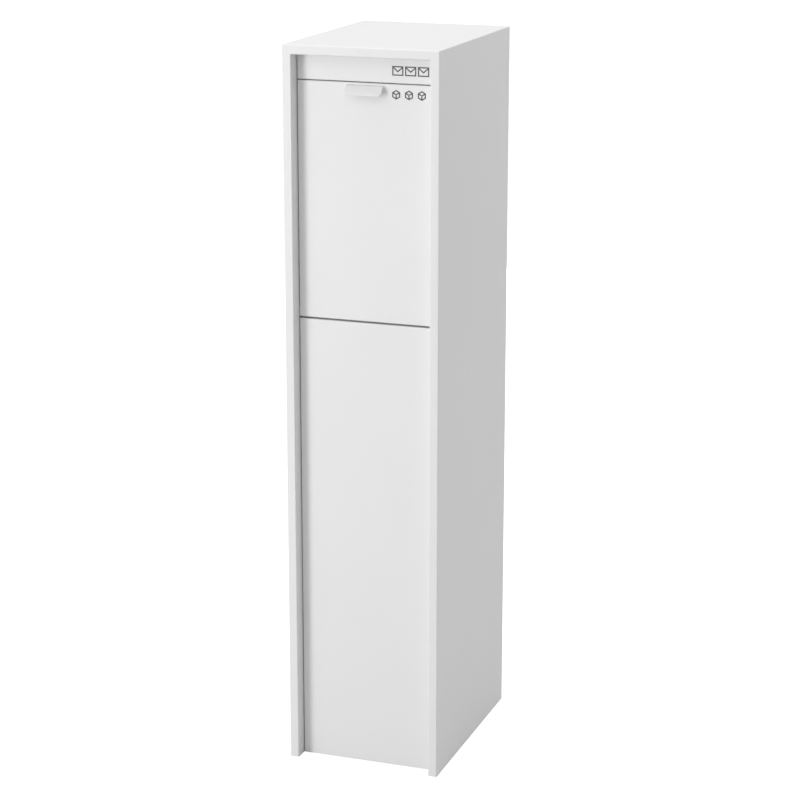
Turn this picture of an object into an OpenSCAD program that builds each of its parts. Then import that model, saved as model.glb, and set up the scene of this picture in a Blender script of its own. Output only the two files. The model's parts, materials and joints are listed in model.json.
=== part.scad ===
// Parcel drop box: a slim free-standing sheet steel cabinet with a letters flap, a tilting parcels
// hopper and a rear collection door. Origin at the middle of the footprint, +Z up, front towards -Y.

/* [Casing] */
// Overall width
case_w = 272; // [270:1:290]
// Overall depth
case_d = 380; // [376:1:400]
// Overall height
case_h = 1250; // [1240:1:1300]
// Thickness of the steel sheet
sheet = 1.5; // [1.2:0.1:1.5]
// Width of the boxed edge seen around the front
edge_w = 16; // [16:0.5:18]
// Depth from the front edge to the face of the flap, door and lower panel
recess = 24; // [22:0.5:24]

/* [Letters flap] */
// Height of the flap's face
flap_h = 41; // [40:0.5:44]
// Diameter of the flap's hinge rod
flap_rod_d = 5; // [4:0.5:5]

/* [Parcels hopper] */
// Height of the parcels door's face
door_h = 398; // [380:1:400]
// Angle through which the hopper tilts forward
tilt = 50; // [44:1:50]
// Radius of the hopper cheeks about the hinge
cheek_r = 271; // [255:1:271]
// Diameter of the hopper's hinge rod
hopper_rod_d = 8; // [6:0.5:8]
// Width of the pull tab
tab_w = 64; // [50:1:90]
// How far the pull tab's lower edge stands off the door
tab_reach = 17; // [12:0.5:20]
// Height of the pull tab
tab_drop = 15; // [14:0.5:20]

/* [Rear door] */
// Width of the collection door
rear_w = 235; // [225:1:235]
// Height of the collection door
rear_h = 717; // [600:1:717]
// Height of the lock above the floor
lock_z = 400; // [200:5:550]
// Diameter of the lock barrel
lock_d = 18; // [16:0.5:19]

/* [Floor anchors] */
// Diameter of the anchor holes
anchor_d = 11; // [8:0.5:13]
// Hole spacing across the width
anchor_x = 180; // [140:5:200]
// Hole spacing along the depth
anchor_y = 240; // [160:5:260]

/* [Labels] */
// Height of one label sign
sign_h = 15.5; // [12:0.5:18]
// Stroke width of the signs
stroke = 1.8; // [1.2:0.1:2.2]
// Number of signs in a row
signs = 3; // [1:1:3]

/* [Hidden] */
$fn = 48;

white = [0.93, 0.93, 0.93];
steel = [0.66, 0.67, 0.69];
zinc = [0.74, 0.75, 0.77];
nylon = [0.85, 0.85, 0.82];
rubber = [0.12, 0.12, 0.12];
ink = [0.30, 0.30, 0.31];

// Fits
run = 0.05;      // radial clearance of a turning shaft
snug = 0.03;     // radial clearance of a pressed or riveted fit
gap = 0.2;       // air left between a stop and what meets it

// Casing planes
half_w = case_w / 2;
front_y = -case_d / 2;
rear_y = case_d / 2;
skin_x = half_w - sheet;
inner_x = half_w - edge_w;
face_y = front_y + recess;
return_y = front_y + 38;
lip_w = 11.5;
back_y = rear_y - 15;
top_under = case_h - edge_w;
wall_top = case_h - sheet;

// Front panels, from the top down
flap_top = top_under - 1.5;
flap_bottom = flap_top - flap_h;
door_top = flap_bottom - 1.5;
door_bottom = door_top - door_h;
panel_top = door_bottom - 3;
panel_bottom = 1;
panel_x = inner_x - 1;
fold_x = panel_x - sheet;
flange_y = face_y + 16;

// Lower panel
foot_x = half_w - 3;
foot_top = panel_top - 19;
panel_lip_h = 15;
panel_lip_y = return_y + 1;
rivet_x = inner_x + 7;
rivet_r = 2;
rivet_head_r = 3.5;
rivet_head_t = 1;
small_rivet_r = 1.6;
rivet_count = 5;
rivet_first_z = 60;
rivet_last_z = foot_top - 30;
rivet_pitch = (rivet_last_z - rivet_first_z) / (rivet_count - 1);

// Letter slot
sill_y = return_y + 4;
sill_d = 20;
sill_top = flap_bottom - 3.5;
sill_h = 16;
sill_rib = sill_top + 2.5;
strip_t = 2;
flap_lip_y = sill_y + sheet + strip_t + gap;
flap_lip_drop = 3;
bumper_r = 6;
bumper_x = 90;
bumper_z = door_top - 9;
baffle_y = 117;
baffle_top = case_h - 155;
baffle_bottom = 800;
chute_fall = (sill_top - 1 - baffle_top) / (baffle_y - sill_y - sill_d);
chute_t = sheet * sqrt(1 + chute_fall * chute_fall);
chute_flange = 12;

// Flap hinge
hinge_y = face_y + 6;
flap_hinge_z = flap_top - 4.5;
ear_r = 5.5;
rod_end_x = inner_x + 4.5;
bush_flange_t = 0.8;
bush_nose = 2;
bush_wall = 1.5;
clip_t = 0.8;
clip_rim = 2;
clip_x = inner_x + sheet + bush_nose + 0.1;
spring_x = 96;
spring_len = 12;
spring_r = 3.6;
spring_wire_r = 0.5;
spring_leg_r = 0.4;
spring_leg = 24;
spring_hook = 5;

// Hopper hinge
hopper_z = door_bottom + 9;
hopper_rod_end_x = inner_x + 6;
hopper_bush_wall = 2;
tray_off = 6;
tray_len = cheek_r - 1;
tray_upright = 15;
tray_hem = 10;
door_in = face_y + sheet - hinge_y;
cheek_low = door_bottom + sheet - hopper_z;
cheek_toe = 10;
cheek_top = 330;
cheek_nose = 12;
cheek_corner_a = 37;
stud_a = 36.6;
stud_r = 3;
sleeve_r = 6;
stud_at = cheek_r - 31;
stud_x = inner_x + 10;
stud_y = hinge_y + stud_at * cos(stud_a);
stud_z = hopper_z + stud_at * sin(stud_a);
door_lip = 14;

// Pull tab
tab_z = door_top - 4;
tab_step = 3.5;
tab_lean = atan((tab_reach - tab_step) / tab_drop);
tab_len = tab_drop / cos(tab_lean);
tab_corner_r = 7;
tab_rivet_x = 20;
tab_rivet_z = tab_z - 8;

// Rear door
rear_x = rear_w / 2;
rear_z0 = 28;
rear_z1 = rear_z0 + rear_h;
rear_out = rear_y - 3;
rear_in = back_y + 3;
rear_lip = 12;
opening_x = rear_x - 13.5;
opening_z0 = rear_z0 + 16;
opening_z1 = rear_z1 - 16;
seal_w = 6;
pivot_x = rear_x - 4.5;
pivot_y = rear_out - 4.5;
pin_r = 2.5;
pin_head_r = 4;
pin_head_t = 2;
pin_reach = 8;
washer_r = 5;
washer_t = 1.4;
bracket_t = 2;
bracket_x0 = pivot_x - 13;
bracket_x1 = pivot_x + 6;
bracket_h = 23.5;
bracket_gap = 1.5;
bracket_rivet_x = [bracket_x0 + 4, bracket_x1 - 5];
upper_rivet_z = rear_z1 + bracket_gap + 14;
lower_rivet_z = rear_z0 - bracket_gap - 14;

// Lock
lock_x = -rear_x + 29.5;
lock_r = lock_d / 2;
bezel_r = lock_r + 2;
bezel_t = 2;
plug_r = 6;
cam_t = 1.8;
cam_y0 = back_y - sheet - 1.5 - cam_t;
cam_len = 32;
cam_r = 6;
nut_r = lock_r + 4.3;
nut_t = 3;
key_w = 1.6;
key_h = 7;
key_deep = 3;

// Base
base_t = 2;
base_flange = 25;
base_mid_y = 12;

// Labels
label_t = 0.3;
label_right = inner_x - 10;
sign_pitch = 22;
sign_w = 19;
fold_dip = 0.45;

// ---------------------------------------------------------------- shared shapes

// A block between two opposite corners
module block(low, high) {
    translate(low) cube(high - low);
}

// Round bars along X, Y and Z
module bar_x(x0, x1, y, z, r) {
    translate([x0, y, z]) rotate([0, 90, 0]) cylinder(h = x1 - x0, r = r);
}
module bar_y(y0, y1, x, z, r) {
    translate([x, y0, z]) rotate([-90, 0, 0]) cylinder(h = y1 - y0, r = r);
}
module bar_z(z0, z1, x, y, r) {
    translate([x, y, z0]) cylinder(h = z1 - z0, r = r);
}

// A flat outline in Y and Z, pulled along X from x0 to x1
module across(x0, x1) {
    translate([x0, 0, 0]) rotate([90, 0, 90]) linear_extrude(x1 - x0) children();
}

// The shape and its mirror image on the other side of the box
module both_sides() {
    children();
    mirror([1, 0, 0]) children();
}

// A rivet along Y with a head at each end
module rivet(x, z, y0, y1, r, head_r) {
    bar_y(y0 - rivet_head_t, y0, x, z, head_r);
    bar_y(y0 - rivet_head_t, y1 + rivet_head_t, x, z, r);
    bar_y(y1, y1 + rivet_head_t, x, z, head_r);
}

// A push-on ring for a rod's end
module rod_clip(y, z, r) {
    difference() {
        bar_x(clip_x, clip_x + clip_t, y, z, r + clip_rim);
        bar_x(clip_x - 1, clip_x + clip_t + 1, y, z, r + snug);
    }
}

// A flanged plastic bush in the side return
module bush(y, z, rod_r, wall) {
    difference() {
        union() {
            bar_x(inner_x - bush_flange_t, inner_x, y, z, rod_r + 2 * wall);
            bar_x(inner_x - bush_flange_t, inner_x + sheet + bush_nose, y, z, rod_r + wall);
        }
        bar_x(inner_x - 2, inner_x + sheet + bush_nose + 1, y, z, rod_r + run);
    }
}

// Places shared by a hole and the rivet that fills it
function lip_rivet_z(i) = rivet_first_z + i * rivet_pitch;

// ---------------------------------------------------------------- casing

module side_panel() {
    difference() {
        union() {
            block([skin_x, front_y, 0], [half_w, rear_y, case_h]);
            block([inner_x, front_y, 0], [half_w, front_y + sheet, case_h]);
            block([inner_x, rear_y - sheet, 0], [half_w, rear_y, case_h]);
            block([inner_x, front_y, 0], [inner_x + sheet, return_y, wall_top]);
            block([inner_x, return_y - sheet, 0], [inner_x + lip_w, return_y, wall_top]);
            block([inner_x, back_y, 0], [inner_x + sheet, rear_y, wall_top]);
        }
        bar_x(inner_x - 1, inner_x + sheet + 1, hinge_y, flap_hinge_z,
            flap_rod_d / 2 + bush_wall + snug);
        bar_x(inner_x - 1, inner_x + sheet + 1, hinge_y, hopper_z,
            hopper_rod_d / 2 + hopper_bush_wall + snug);
        for (i = [0 : rivet_count - 1])
            bar_y(return_y - sheet - 1, return_y + 1, rivet_x, lip_rivet_z(i), rivet_r + snug);
    }
}

module side_panel_right() {
    color(white) side_panel();
}

module side_panel_left() {
    color(white) mirror([1, 0, 0]) side_panel();
}

module top_panel() {
    color(white) {
        block([-skin_x, front_y + sheet, wall_top], [skin_x, rear_y - sheet, case_h]);
        block([-inner_x, front_y, top_under], [inner_x, front_y + sheet, case_h]);
        block([-inner_x, rear_y - sheet, top_under], [inner_x, rear_y, case_h]);
        block([-inner_x, front_y, top_under], [inner_x, return_y, top_under + sheet]);
        block([-inner_x, return_y - sheet, top_under], [inner_x, return_y, top_under + lip_w]);
        block([-inner_x, back_y, top_under], [inner_x, rear_y, top_under + sheet]);
    }
}

module base_plate() {
    base_front = return_y + 3;
    base_rear = back_y - sheet;
    color(white) difference() {
        union() {
            block([-skin_x, base_front, 0], [skin_x, base_rear, base_t]);
            block([-skin_x, base_front, 0], [skin_x, base_front + base_t, base_flange]);
            block([-skin_x, base_rear - base_t, 0], [skin_x, base_rear, base_flange]);
            both_sides()
                block([skin_x - base_t, base_front, 0], [skin_x, base_rear, base_flange]);
        }
        for (sx = [-1, 1], sy = [-1, 1])
            bar_z(-1, base_t + 1, sx * anchor_x / 2, base_mid_y + sy * anchor_y / 2, anchor_d / 2);
        for (x = bracket_rivet_x)
            bar_y(base_rear - base_t - 1, base_rear + 1, x, lower_rivet_z, small_rivet_r + snug);
    }
}

module back_panel() {
    color(white) difference() {
        block([-skin_x, back_y - sheet, 0], [skin_x, back_y, wall_top]);
        block([-opening_x, back_y - sheet - 1, opening_z0], [opening_x, back_y + 1, opening_z1]);
        for (x = bracket_rivet_x, z = [lower_rivet_z, upper_rivet_z])
            bar_y(back_y - sheet - 1, back_y + 1, x, z, small_rivet_r + snug);
    }
}

module front_lower_panel() {
    color(white) difference() {
        union() {
            block([-panel_x, face_y, panel_bottom], [panel_x, face_y + sheet, panel_top]);
            block([-panel_x, face_y, panel_top - sheet], [panel_x, panel_lip_y, panel_top]);
            block([-fold_x, panel_lip_y - sheet, panel_top - panel_lip_h],
                [fold_x, panel_lip_y, panel_top]);
            both_sides() {
                block([fold_x, face_y, panel_bottom], [panel_x, return_y + sheet, panel_top]);
                block([fold_x, return_y, panel_bottom], [foot_x, return_y + sheet, foot_top]);
            }
        }
        both_sides() for (i = [0 : rivet_count - 1])
            bar_y(return_y - 1, return_y + sheet + 1, rivet_x, lip_rivet_z(i), rivet_r + snug);
    }
}

module panel_rivets() {
    color(zinc) both_sides() for (i = [0 : rivet_count - 1])
        rivet(rivet_x, lip_rivet_z(i), return_y - sheet, return_y + sheet, rivet_r, rivet_head_r);
}

// ---------------------------------------------------------------- letter slot and chute

module letter_slot_sill() {
    color(white) {
        block([-skin_x, sill_y, sill_top - sheet], [skin_x, sill_y + sill_d, sill_top]);
        block([-skin_x, sill_y, sill_top - sill_h], [skin_x, sill_y + sheet, sill_top]);
        block([-panel_x, sill_y, sill_top - sheet], [panel_x, sill_y + sheet, sill_rib]);
        block([-skin_x, sill_y + sill_d - sheet, sill_top - sill_h],
            [skin_x, sill_y + sill_d, sill_top]);
        both_sides()
            block([skin_x - sheet, sill_y, sill_top - sill_h], [skin_x, sill_y + sill_d, sill_top]);
    }
}

module flap_stop_strip() {
    color(rubber)
        block([-panel_x, sill_y + sheet, sill_top], [panel_x, sill_y + sheet + strip_t, sill_rib]);
}

module door_bumpers() {
    bumper_front = flange_y + gap;
    color(rubber) both_sides() bar_y(bumper_front, sill_y, bumper_x, bumper_z, bumper_r);
}

module letter_chute() {
    chute_y = sill_y + sill_d;
    chute_top = sill_top - 1;
    color(white) {
        across(-skin_x, skin_x) polygon([
            [chute_y, chute_top], [baffle_y, baffle_top],
            [baffle_y, baffle_top - chute_t], [chute_y, chute_top - chute_t]
        ]);
        block([-skin_x, chute_y, sill_top - sill_h], [skin_x, chute_y + sheet, chute_top - sheet]);
        both_sides() across(skin_x - sheet, skin_x) polygon([
            [chute_y, chute_top - chute_t], [baffle_y, baffle_top - chute_t],
            [baffle_y, baffle_top + chute_flange], [chute_y, chute_top + chute_flange]
        ]);
    }
}

module rear_baffle() {
    color(white) {
        block([-skin_x, baffle_y, baffle_bottom], [skin_x, baffle_y + sheet, baffle_top]);
        both_sides() block([skin_x - sheet, baffle_y, baffle_bottom],
            [skin_x, baffle_y + sheet + chute_flange, baffle_top]);
    }
}

// ---------------------------------------------------------------- letters flap

module flap_bushes() {
    color(nylon) both_sides() bush(hinge_y, flap_hinge_z, flap_rod_d / 2, bush_wall);
}

module letters_flap() {
    color(white) difference() {
        union() {
            block([-panel_x, face_y, flap_bottom], [panel_x, face_y + sheet, flap_top]);
            block([-panel_x, face_y, flap_bottom],
                [panel_x, flap_lip_y + sheet, flap_bottom + sheet]);
            block([-panel_x, flap_lip_y, flap_bottom - flap_lip_drop],
                [panel_x, flap_lip_y + sheet, flap_bottom + sheet]);
            both_sides() across(fold_x, panel_x) {
                translate([hinge_y, flap_hinge_z]) circle(r = ear_r);
                translate([face_y, flap_bottom])
                    square([hinge_y - face_y, flap_top - flap_bottom]);
                translate([face_y, flap_bottom])
                    square([hinge_y - face_y + ear_r, flap_hinge_z - flap_bottom]);
            }
        }
        both_sides() bar_x(fold_x - 1, panel_x + 1, hinge_y, flap_hinge_z, flap_rod_d / 2 + snug);
    }
}

module flap_rod() {
    color(steel) bar_x(-rod_end_x, rod_end_x, hinge_y, flap_hinge_z, flap_rod_d / 2);
}

module flap_rod_clips() {
    color(zinc) both_sides() rod_clip(hinge_y, flap_hinge_z, flap_rod_d / 2);
}

// Torsion spring: the coil as one sleeve, a leg down the flap and a leg hooked behind the top lip
module flap_spring() {
    far_x = spring_x + spring_len;
    hook_y = return_y + 1.5;
    leg_z = flap_hinge_z + spring_r;
    color(steel) {
        difference() {
            bar_x(spring_x, far_x, hinge_y, flap_hinge_z, spring_r + spring_wire_r);
            bar_x(spring_x - 1, far_x + 1, hinge_y, flap_hinge_z, spring_r - spring_wire_r);
        }
        bar_z(flap_hinge_z - spring_leg, flap_hinge_z, spring_x + spring_wire_r,
            hinge_y - spring_r, spring_leg_r);
        bar_y(hinge_y, hook_y, far_x - spring_wire_r, leg_z, spring_leg_r);
        bar_z(leg_z, leg_z + spring_hook, far_x - spring_wire_r, hook_y - spring_leg_r,
            spring_leg_r);
    }
}

// ---------------------------------------------------------------- labels

// A closed envelope with its flap line
module envelope_sign() {
    difference() {
        square([sign_w, sign_h]);
        translate([stroke, stroke]) square([sign_w - 2 * stroke, sign_h - 2 * stroke]);
    }
    polygon([
        [0, sign_h], [sign_w / 2, sign_h * fold_dip], [sign_w, sign_h],
        [sign_w, sign_h - 1.4 * stroke], [sign_w / 2, sign_h * fold_dip - 1.4 * stroke],
        [0, sign_h - 1.4 * stroke]
    ]);
}

// A box seen from one corner
module parcel_sign() {
    outer_r = sign_h / 2;
    translate([sign_w / 2, outer_r]) {
        difference() {
            rotate(30) circle(r = outer_r, $fn = 6);
            rotate(30) circle(r = outer_r - stroke * 2 / sqrt(3), $fn = 6);
        }
        for (turn = [30, 150, 270])
            rotate(turn) translate([0, -stroke / 2]) square([outer_r - stroke / 2, stroke]);
    }
}

// A row of signs that ends at the right margin, its lower edge at z
module sign_row(z) {
    for (i = [0 : signs - 1])
        translate([label_right - sign_w - i * sign_pitch, face_y, z])
            rotate([90, 0, 0]) linear_extrude(label_t) children();
}

module letters_label() {
    color(ink) sign_row((flap_top + flap_bottom - sign_h) / 2) envelope_sign();
}

module parcels_label() {
    color(ink) sign_row(door_top - 9 - sign_h) parcel_sign();
}

// ---------------------------------------------------------------- parcels hopper

// A point at distance off above the hinge's own tray line and run along it, from the hinge
function on_tray(off, run_len) = [
    off * sin(tilt) + run_len * cos(tilt),
    off * cos(tilt) - run_len * sin(tilt)
];
// How far along the tray line the door's inner face is met
function tray_start(off) = (door_in - off * sin(tilt)) / cos(tilt);

// Outlines drawn about the hopper's hinge
module about_hopper_hinge(x0, x1) {
    translate([0, hinge_y, hopper_z]) across(x0, x1) children();
}

module hopper_bushes() {
    color(nylon) both_sides() bush(hinge_y, hopper_z, hopper_rod_d / 2, hopper_bush_wall);
}

module parcels_door() {
    color(white) difference() {
        union() {
            block([-panel_x, face_y, door_bottom], [panel_x, face_y + sheet, door_top]);
            block([-panel_x, face_y, door_bottom], [panel_x, flange_y, door_bottom + sheet]);
            block([-panel_x, face_y, door_top - sheet], [panel_x, flange_y, door_top]);
            block([-panel_x, flange_y - sheet, door_top - door_lip], [panel_x, flange_y, door_top]);
            both_sides() block([fold_x, face_y, door_bottom], [panel_x, flange_y, door_top]);
        }
        both_sides()
            bar_x(fold_x - 1, panel_x + 1, hinge_y, hopper_z, hopper_rod_d / 2 + snug);
        block([-tab_w / 2 - snug, face_y - 1, tab_z - sheet - snug],
            [tab_w / 2 + snug, face_y + sheet + 1, tab_z + snug]);
        both_sides()
            bar_y(face_y - 1, face_y + sheet + 1, tab_rivet_x, tab_rivet_z, small_rivet_r + snug);
    }
}

// Folded tab: inner flange, the step through the door, and the leaning lip with rounded corners
module door_handle() {
    outer = [face_y - tab_step, tab_z];
    down = [-sin(tab_lean), -cos(tab_lean)];
    inner = outer + sheet * [cos(tab_lean), -sin(tab_lean)];
    crease = inner + (sheet - sheet * sin(tab_lean)) / cos(tab_lean) * down;
    behind = face_y + sheet;
    low = tab_z - tab_drop;
    color(white) difference() {
        across(-tab_w / 2, tab_w / 2) polygon([outer, outer + tab_len * down, inner + tab_len * down,
            crease, [behind, tab_z - sheet], [behind, low], [behind + sheet, low],
            [behind + sheet, tab_z]]);
        both_sides() {
            translate([0, outer.x, outer.y]) rotate([-tab_lean, 0, 0]) tab_corner();
            bar_y(behind - 1, behind + sheet + 1, tab_rivet_x, tab_rivet_z, small_rivet_r + snug);
        }
    }
}

// What the tab's rounded corner leaves out
module tab_corner() {
    round_x = tab_w / 2 - tab_corner_r;
    difference() {
        block([round_x, -1, -tab_len - 1], [tab_w / 2 + 1, sheet + 1, tab_corner_r - tab_len]);
        bar_y(-2, sheet + 2, round_x, tab_corner_r - tab_len, tab_corner_r);
    }
}

// Rivets with a flush outer end and a domed inner head
module handle_rivets() {
    color(zinc) both_sides() {
        bar_y(face_y, face_y + 2 * sheet + rivet_head_t, tab_rivet_x, tab_rivet_z, small_rivet_r);
        bar_y(face_y + 2 * sheet, face_y + 2 * sheet + rivet_head_t, tab_rivet_x, tab_rivet_z,
            2 * small_rivet_r);
    }
}

module hopper_cheek() {
    far = 1.5 * cheek_r;
    corner = cheek_r * [cos(cheek_corner_a), sin(cheek_corner_a)];
    toe_run = (cheek_toe - tray_off * sin(tilt)) / cos(tilt);
    difference() {
        about_hopper_hinge(fold_x - sheet, fold_x) {
            intersection() {
                circle(r = cheek_r, $fn = 180);
                polygon([
                    [door_in, cheek_low], [cheek_toe, cheek_low], on_tray(tray_off, toe_run),
                    on_tray(tray_off, far), [2 * far, -far],
                    2 * far * [cos(cheek_corner_a), sin(cheek_corner_a)], [door_in, 0]
                ]);
            }
            polygon([
                [door_in, cheek_low], [cheek_toe, cheek_low], corner,
                [cheek_nose, cheek_top], [door_in, cheek_top]
            ]);
        }
        bar_x(fold_x - sheet - 1, fold_x + 1, hinge_y, hopper_z, hopper_rod_d / 2 + snug);
    }
}

module hopper_cheek_right() {
    color(white) hopper_cheek();
}

module hopper_cheek_left() {
    color(white) mirror([1, 0, 0]) hopper_cheek();
}

module hopper_tray() {
    tray_x = fold_x - sheet;
    start = on_tray(tray_off, tray_start(tray_off));
    color(white) about_hopper_hinge(-tray_x, tray_x) {
        polygon([
            start, on_tray(tray_off, tray_len), on_tray(tray_off + sheet, tray_len),
            on_tray(tray_off + sheet, tray_start(tray_off + sheet))
        ]);
        translate(start) square([sheet, tray_upright]);
        polygon([
            on_tray(tray_off - tray_hem, tray_len), on_tray(tray_off + sheet, tray_len),
            on_tray(tray_off + sheet, tray_len - sheet),
            on_tray(tray_off - tray_hem, tray_len - sheet)
        ]);
    }
}

module hopper_hinge_rod() {
    color(steel) bar_x(-hopper_rod_end_x, hopper_rod_end_x, hinge_y, hopper_z, hopper_rod_d / 2);
}

module hopper_rod_clips() {
    color(zinc) both_sides() rod_clip(hinge_y, hopper_z, hopper_rod_d / 2);
}

module hopper_stop_studs() {
    color(steel) both_sides() {
        bar_x(fold_x, stud_x, stud_y, stud_z, stud_r);
        bar_x(stud_x, stud_x + sheet, stud_y, stud_z, stud_r + 1.5);
    }
}

module hopper_stop_sleeves() {
    color(rubber) both_sides() difference() {
        bar_x(fold_x, stud_x, stud_y, stud_z, sleeve_r);
        bar_x(fold_x - 1, stud_x + 1, stud_y, stud_z, stud_r + snug);
    }
}

// ---------------------------------------------------------------- rear door and its pivots

// Angle bracket with a pin hole in its ledge; z is the ledge's face towards the door
module pivot_bracket(z, up) {
    away = z + up * bracket_t;
    tail = z + up * bracket_h;
    difference() {
        union() {
            block([bracket_x0, back_y, min(z, tail)], [bracket_x1, back_y + bracket_t, max(z, tail)]);
            block([bracket_x0, back_y, min(z, away)], [bracket_x1, rear_out, max(z, away)]);
        }
        bar_z(min(z, away) - 1, max(z, away) + 1, pivot_x, pivot_y, pin_r + snug);
        for (x = bracket_rivet_x)
            bar_y(back_y - 1, back_y + bracket_t + 1, x, up > 0 ? upper_rivet_z : lower_rivet_z,
                small_rivet_r + snug);
    }
}

module pivot_bracket_upper() {
    color(zinc) pivot_bracket(rear_z1 + bracket_gap, 1);
}

module pivot_bracket_lower() {
    color(zinc) pivot_bracket(rear_z0 - bracket_gap, -1);
}

module bracket_rivets() {
    color(zinc) for (x = bracket_rivet_x) {
        rivet(x, upper_rivet_z, back_y - sheet, back_y + bracket_t, small_rivet_r, 2 * small_rivet_r);
        rivet(x, lower_rivet_z, back_y - sheet - base_t, back_y + bracket_t, small_rivet_r,
            2 * small_rivet_r);
    }
}

module pivot_pins() {
    top = rear_z1 + bracket_gap + bracket_t;
    low = rear_z0 - bracket_gap - bracket_t;
    color(steel) {
        bar_z(rear_z1 - pin_reach, top + pin_head_t, pivot_x, pivot_y, pin_r);
        bar_z(top, top + pin_head_t, pivot_x, pivot_y, pin_head_r);
        bar_z(low - pin_head_t, rear_z0 + pin_reach, pivot_x, pivot_y, pin_r);
        bar_z(low - pin_head_t, low, pivot_x, pivot_y, pin_head_r);
    }
}

module pivot_washers() {
    color(nylon) for (z = [rear_z0 - bracket_gap, rear_z1 + bracket_gap - washer_t])
        difference() {
            bar_z(z, z + washer_t, pivot_x, pivot_y, washer_r);
            bar_z(z - 1, z + washer_t + 1, pivot_x, pivot_y, pin_r + snug);
        }
}

module rear_door() {
    color(white) difference() {
        block([-rear_x, rear_in, rear_z0], [rear_x, rear_out, rear_z1]);
        block([-rear_x + sheet, rear_in + sheet, rear_z0 + sheet],
            [rear_x - sheet, rear_out - sheet, rear_z1 - sheet]);
        block([-rear_x + sheet + rear_lip, rear_in - 1, rear_z0 + sheet + rear_lip],
            [rear_x - sheet - rear_lip, rear_in + sheet + 1, rear_z1 - sheet - rear_lip]);
        bar_z(rear_z0 - 1, rear_z0 + sheet + 1, pivot_x, pivot_y, pin_r + run);
        bar_z(rear_z1 - sheet - 1, rear_z1 + 1, pivot_x, pivot_y, pin_r + run);
        bar_y(rear_out - sheet - 1, rear_out + 1, lock_x, lock_z, lock_r + snug);
    }
}

module rear_door_seal() {
    inner = 0.5;
    color(rubber) difference() {
        block([-opening_x - inner - seal_w, back_y + gap, opening_z0 - inner - seal_w],
            [opening_x + inner + seal_w, rear_in, opening_z1 + inner + seal_w]);
        block([-opening_x - inner, back_y, opening_z0 - inner],
            [opening_x + inner, rear_in + 1, opening_z1 + inner]);
    }
}

// ---------------------------------------------------------------- cam lock

module lock_barrel() {
    color(zinc) difference() {
        union() {
            bar_y(cam_y0 + cam_t + gap, rear_out, lock_x, lock_z, lock_r);
            bar_y(rear_out, rear_out + bezel_t, lock_x, lock_z, bezel_r);
        }
        bar_y(cam_y0, rear_y, lock_x, lock_z, plug_r + run);
    }
}

module lock_nut() {
    color(zinc) difference() {
        translate([lock_x, rear_out - sheet - nut_t, lock_z]) rotate([-90, 0, 0])
            cylinder(h = nut_t, r = nut_r, $fn = 6);
        bar_y(rear_out - sheet - nut_t - 1, rear_out, lock_x, lock_z, lock_r + snug);
    }
}

module lock_plug() {
    outer = rear_out + bezel_t - 0.4;
    color(steel) difference() {
        bar_y(cam_y0 + cam_t, outer, lock_x, lock_z, plug_r);
        block([lock_x - key_w / 2, outer - key_deep, lock_z - key_h / 2],
            [lock_x + key_w / 2, outer + 1, lock_z + key_h / 2]);
        bar_y(cam_y0, cam_y0 + cam_t + cam_r, lock_x, lock_z, rivet_r + snug);
    }
}

module lock_cam() {
    color(zinc) difference() {
        union() {
            bar_y(cam_y0, cam_y0 + cam_t, lock_x, lock_z, cam_r + 2);
            block([lock_x - cam_r, cam_y0, lock_z - cam_len], [lock_x + cam_r, cam_y0 + cam_t, lock_z]);
            bar_y(cam_y0, cam_y0 + cam_t, lock_x, lock_z - cam_len, cam_r);
        }
        bar_y(cam_y0 - 1, cam_y0 + cam_t + 1, lock_x, lock_z, rivet_r + snug);
    }
}

module lock_cam_screw() {
    color(steel) {
        bar_y(cam_y0 - nut_t, cam_y0, lock_x, lock_z, plug_r - 1.5);
        bar_y(cam_y0 - nut_t, cam_y0 + cam_t + cam_r, lock_x, lock_z, rivet_r);
    }
}

// ---------------------------------------------------------------- drawing

side_panel_left();
side_panel_right();
top_panel();
base_plate();
back_panel();
front_lower_panel();
panel_rivets();
letter_slot_sill();
flap_stop_strip();
door_bumpers();
letter_chute();
rear_baffle();
flap_bushes();
letters_flap();
flap_rod();
flap_rod_clips();
flap_spring();
letters_label();
hopper_bushes();
parcels_door();
door_handle();
handle_rivets();
hopper_cheek_left();
hopper_cheek_right();
hopper_tray();
hopper_hinge_rod();
hopper_rod_clips();
hopper_stop_studs();
hopper_stop_sleeves();
parcels_label();
pivot_bracket_upper();
pivot_bracket_lower();
bracket_rivets();
pivot_pins();
pivot_washers();
rear_door();
rear_door_seal();
lock_barrel();
lock_nut();
lock_plug();
lock_cam();
lock_cam_screw();
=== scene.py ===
import json
import math

import bmesh
import bpy
from bpy.props import FloatProperty, FloatVectorProperty, IntProperty, PointerProperty
from mathutils import Matrix, Vector


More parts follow.
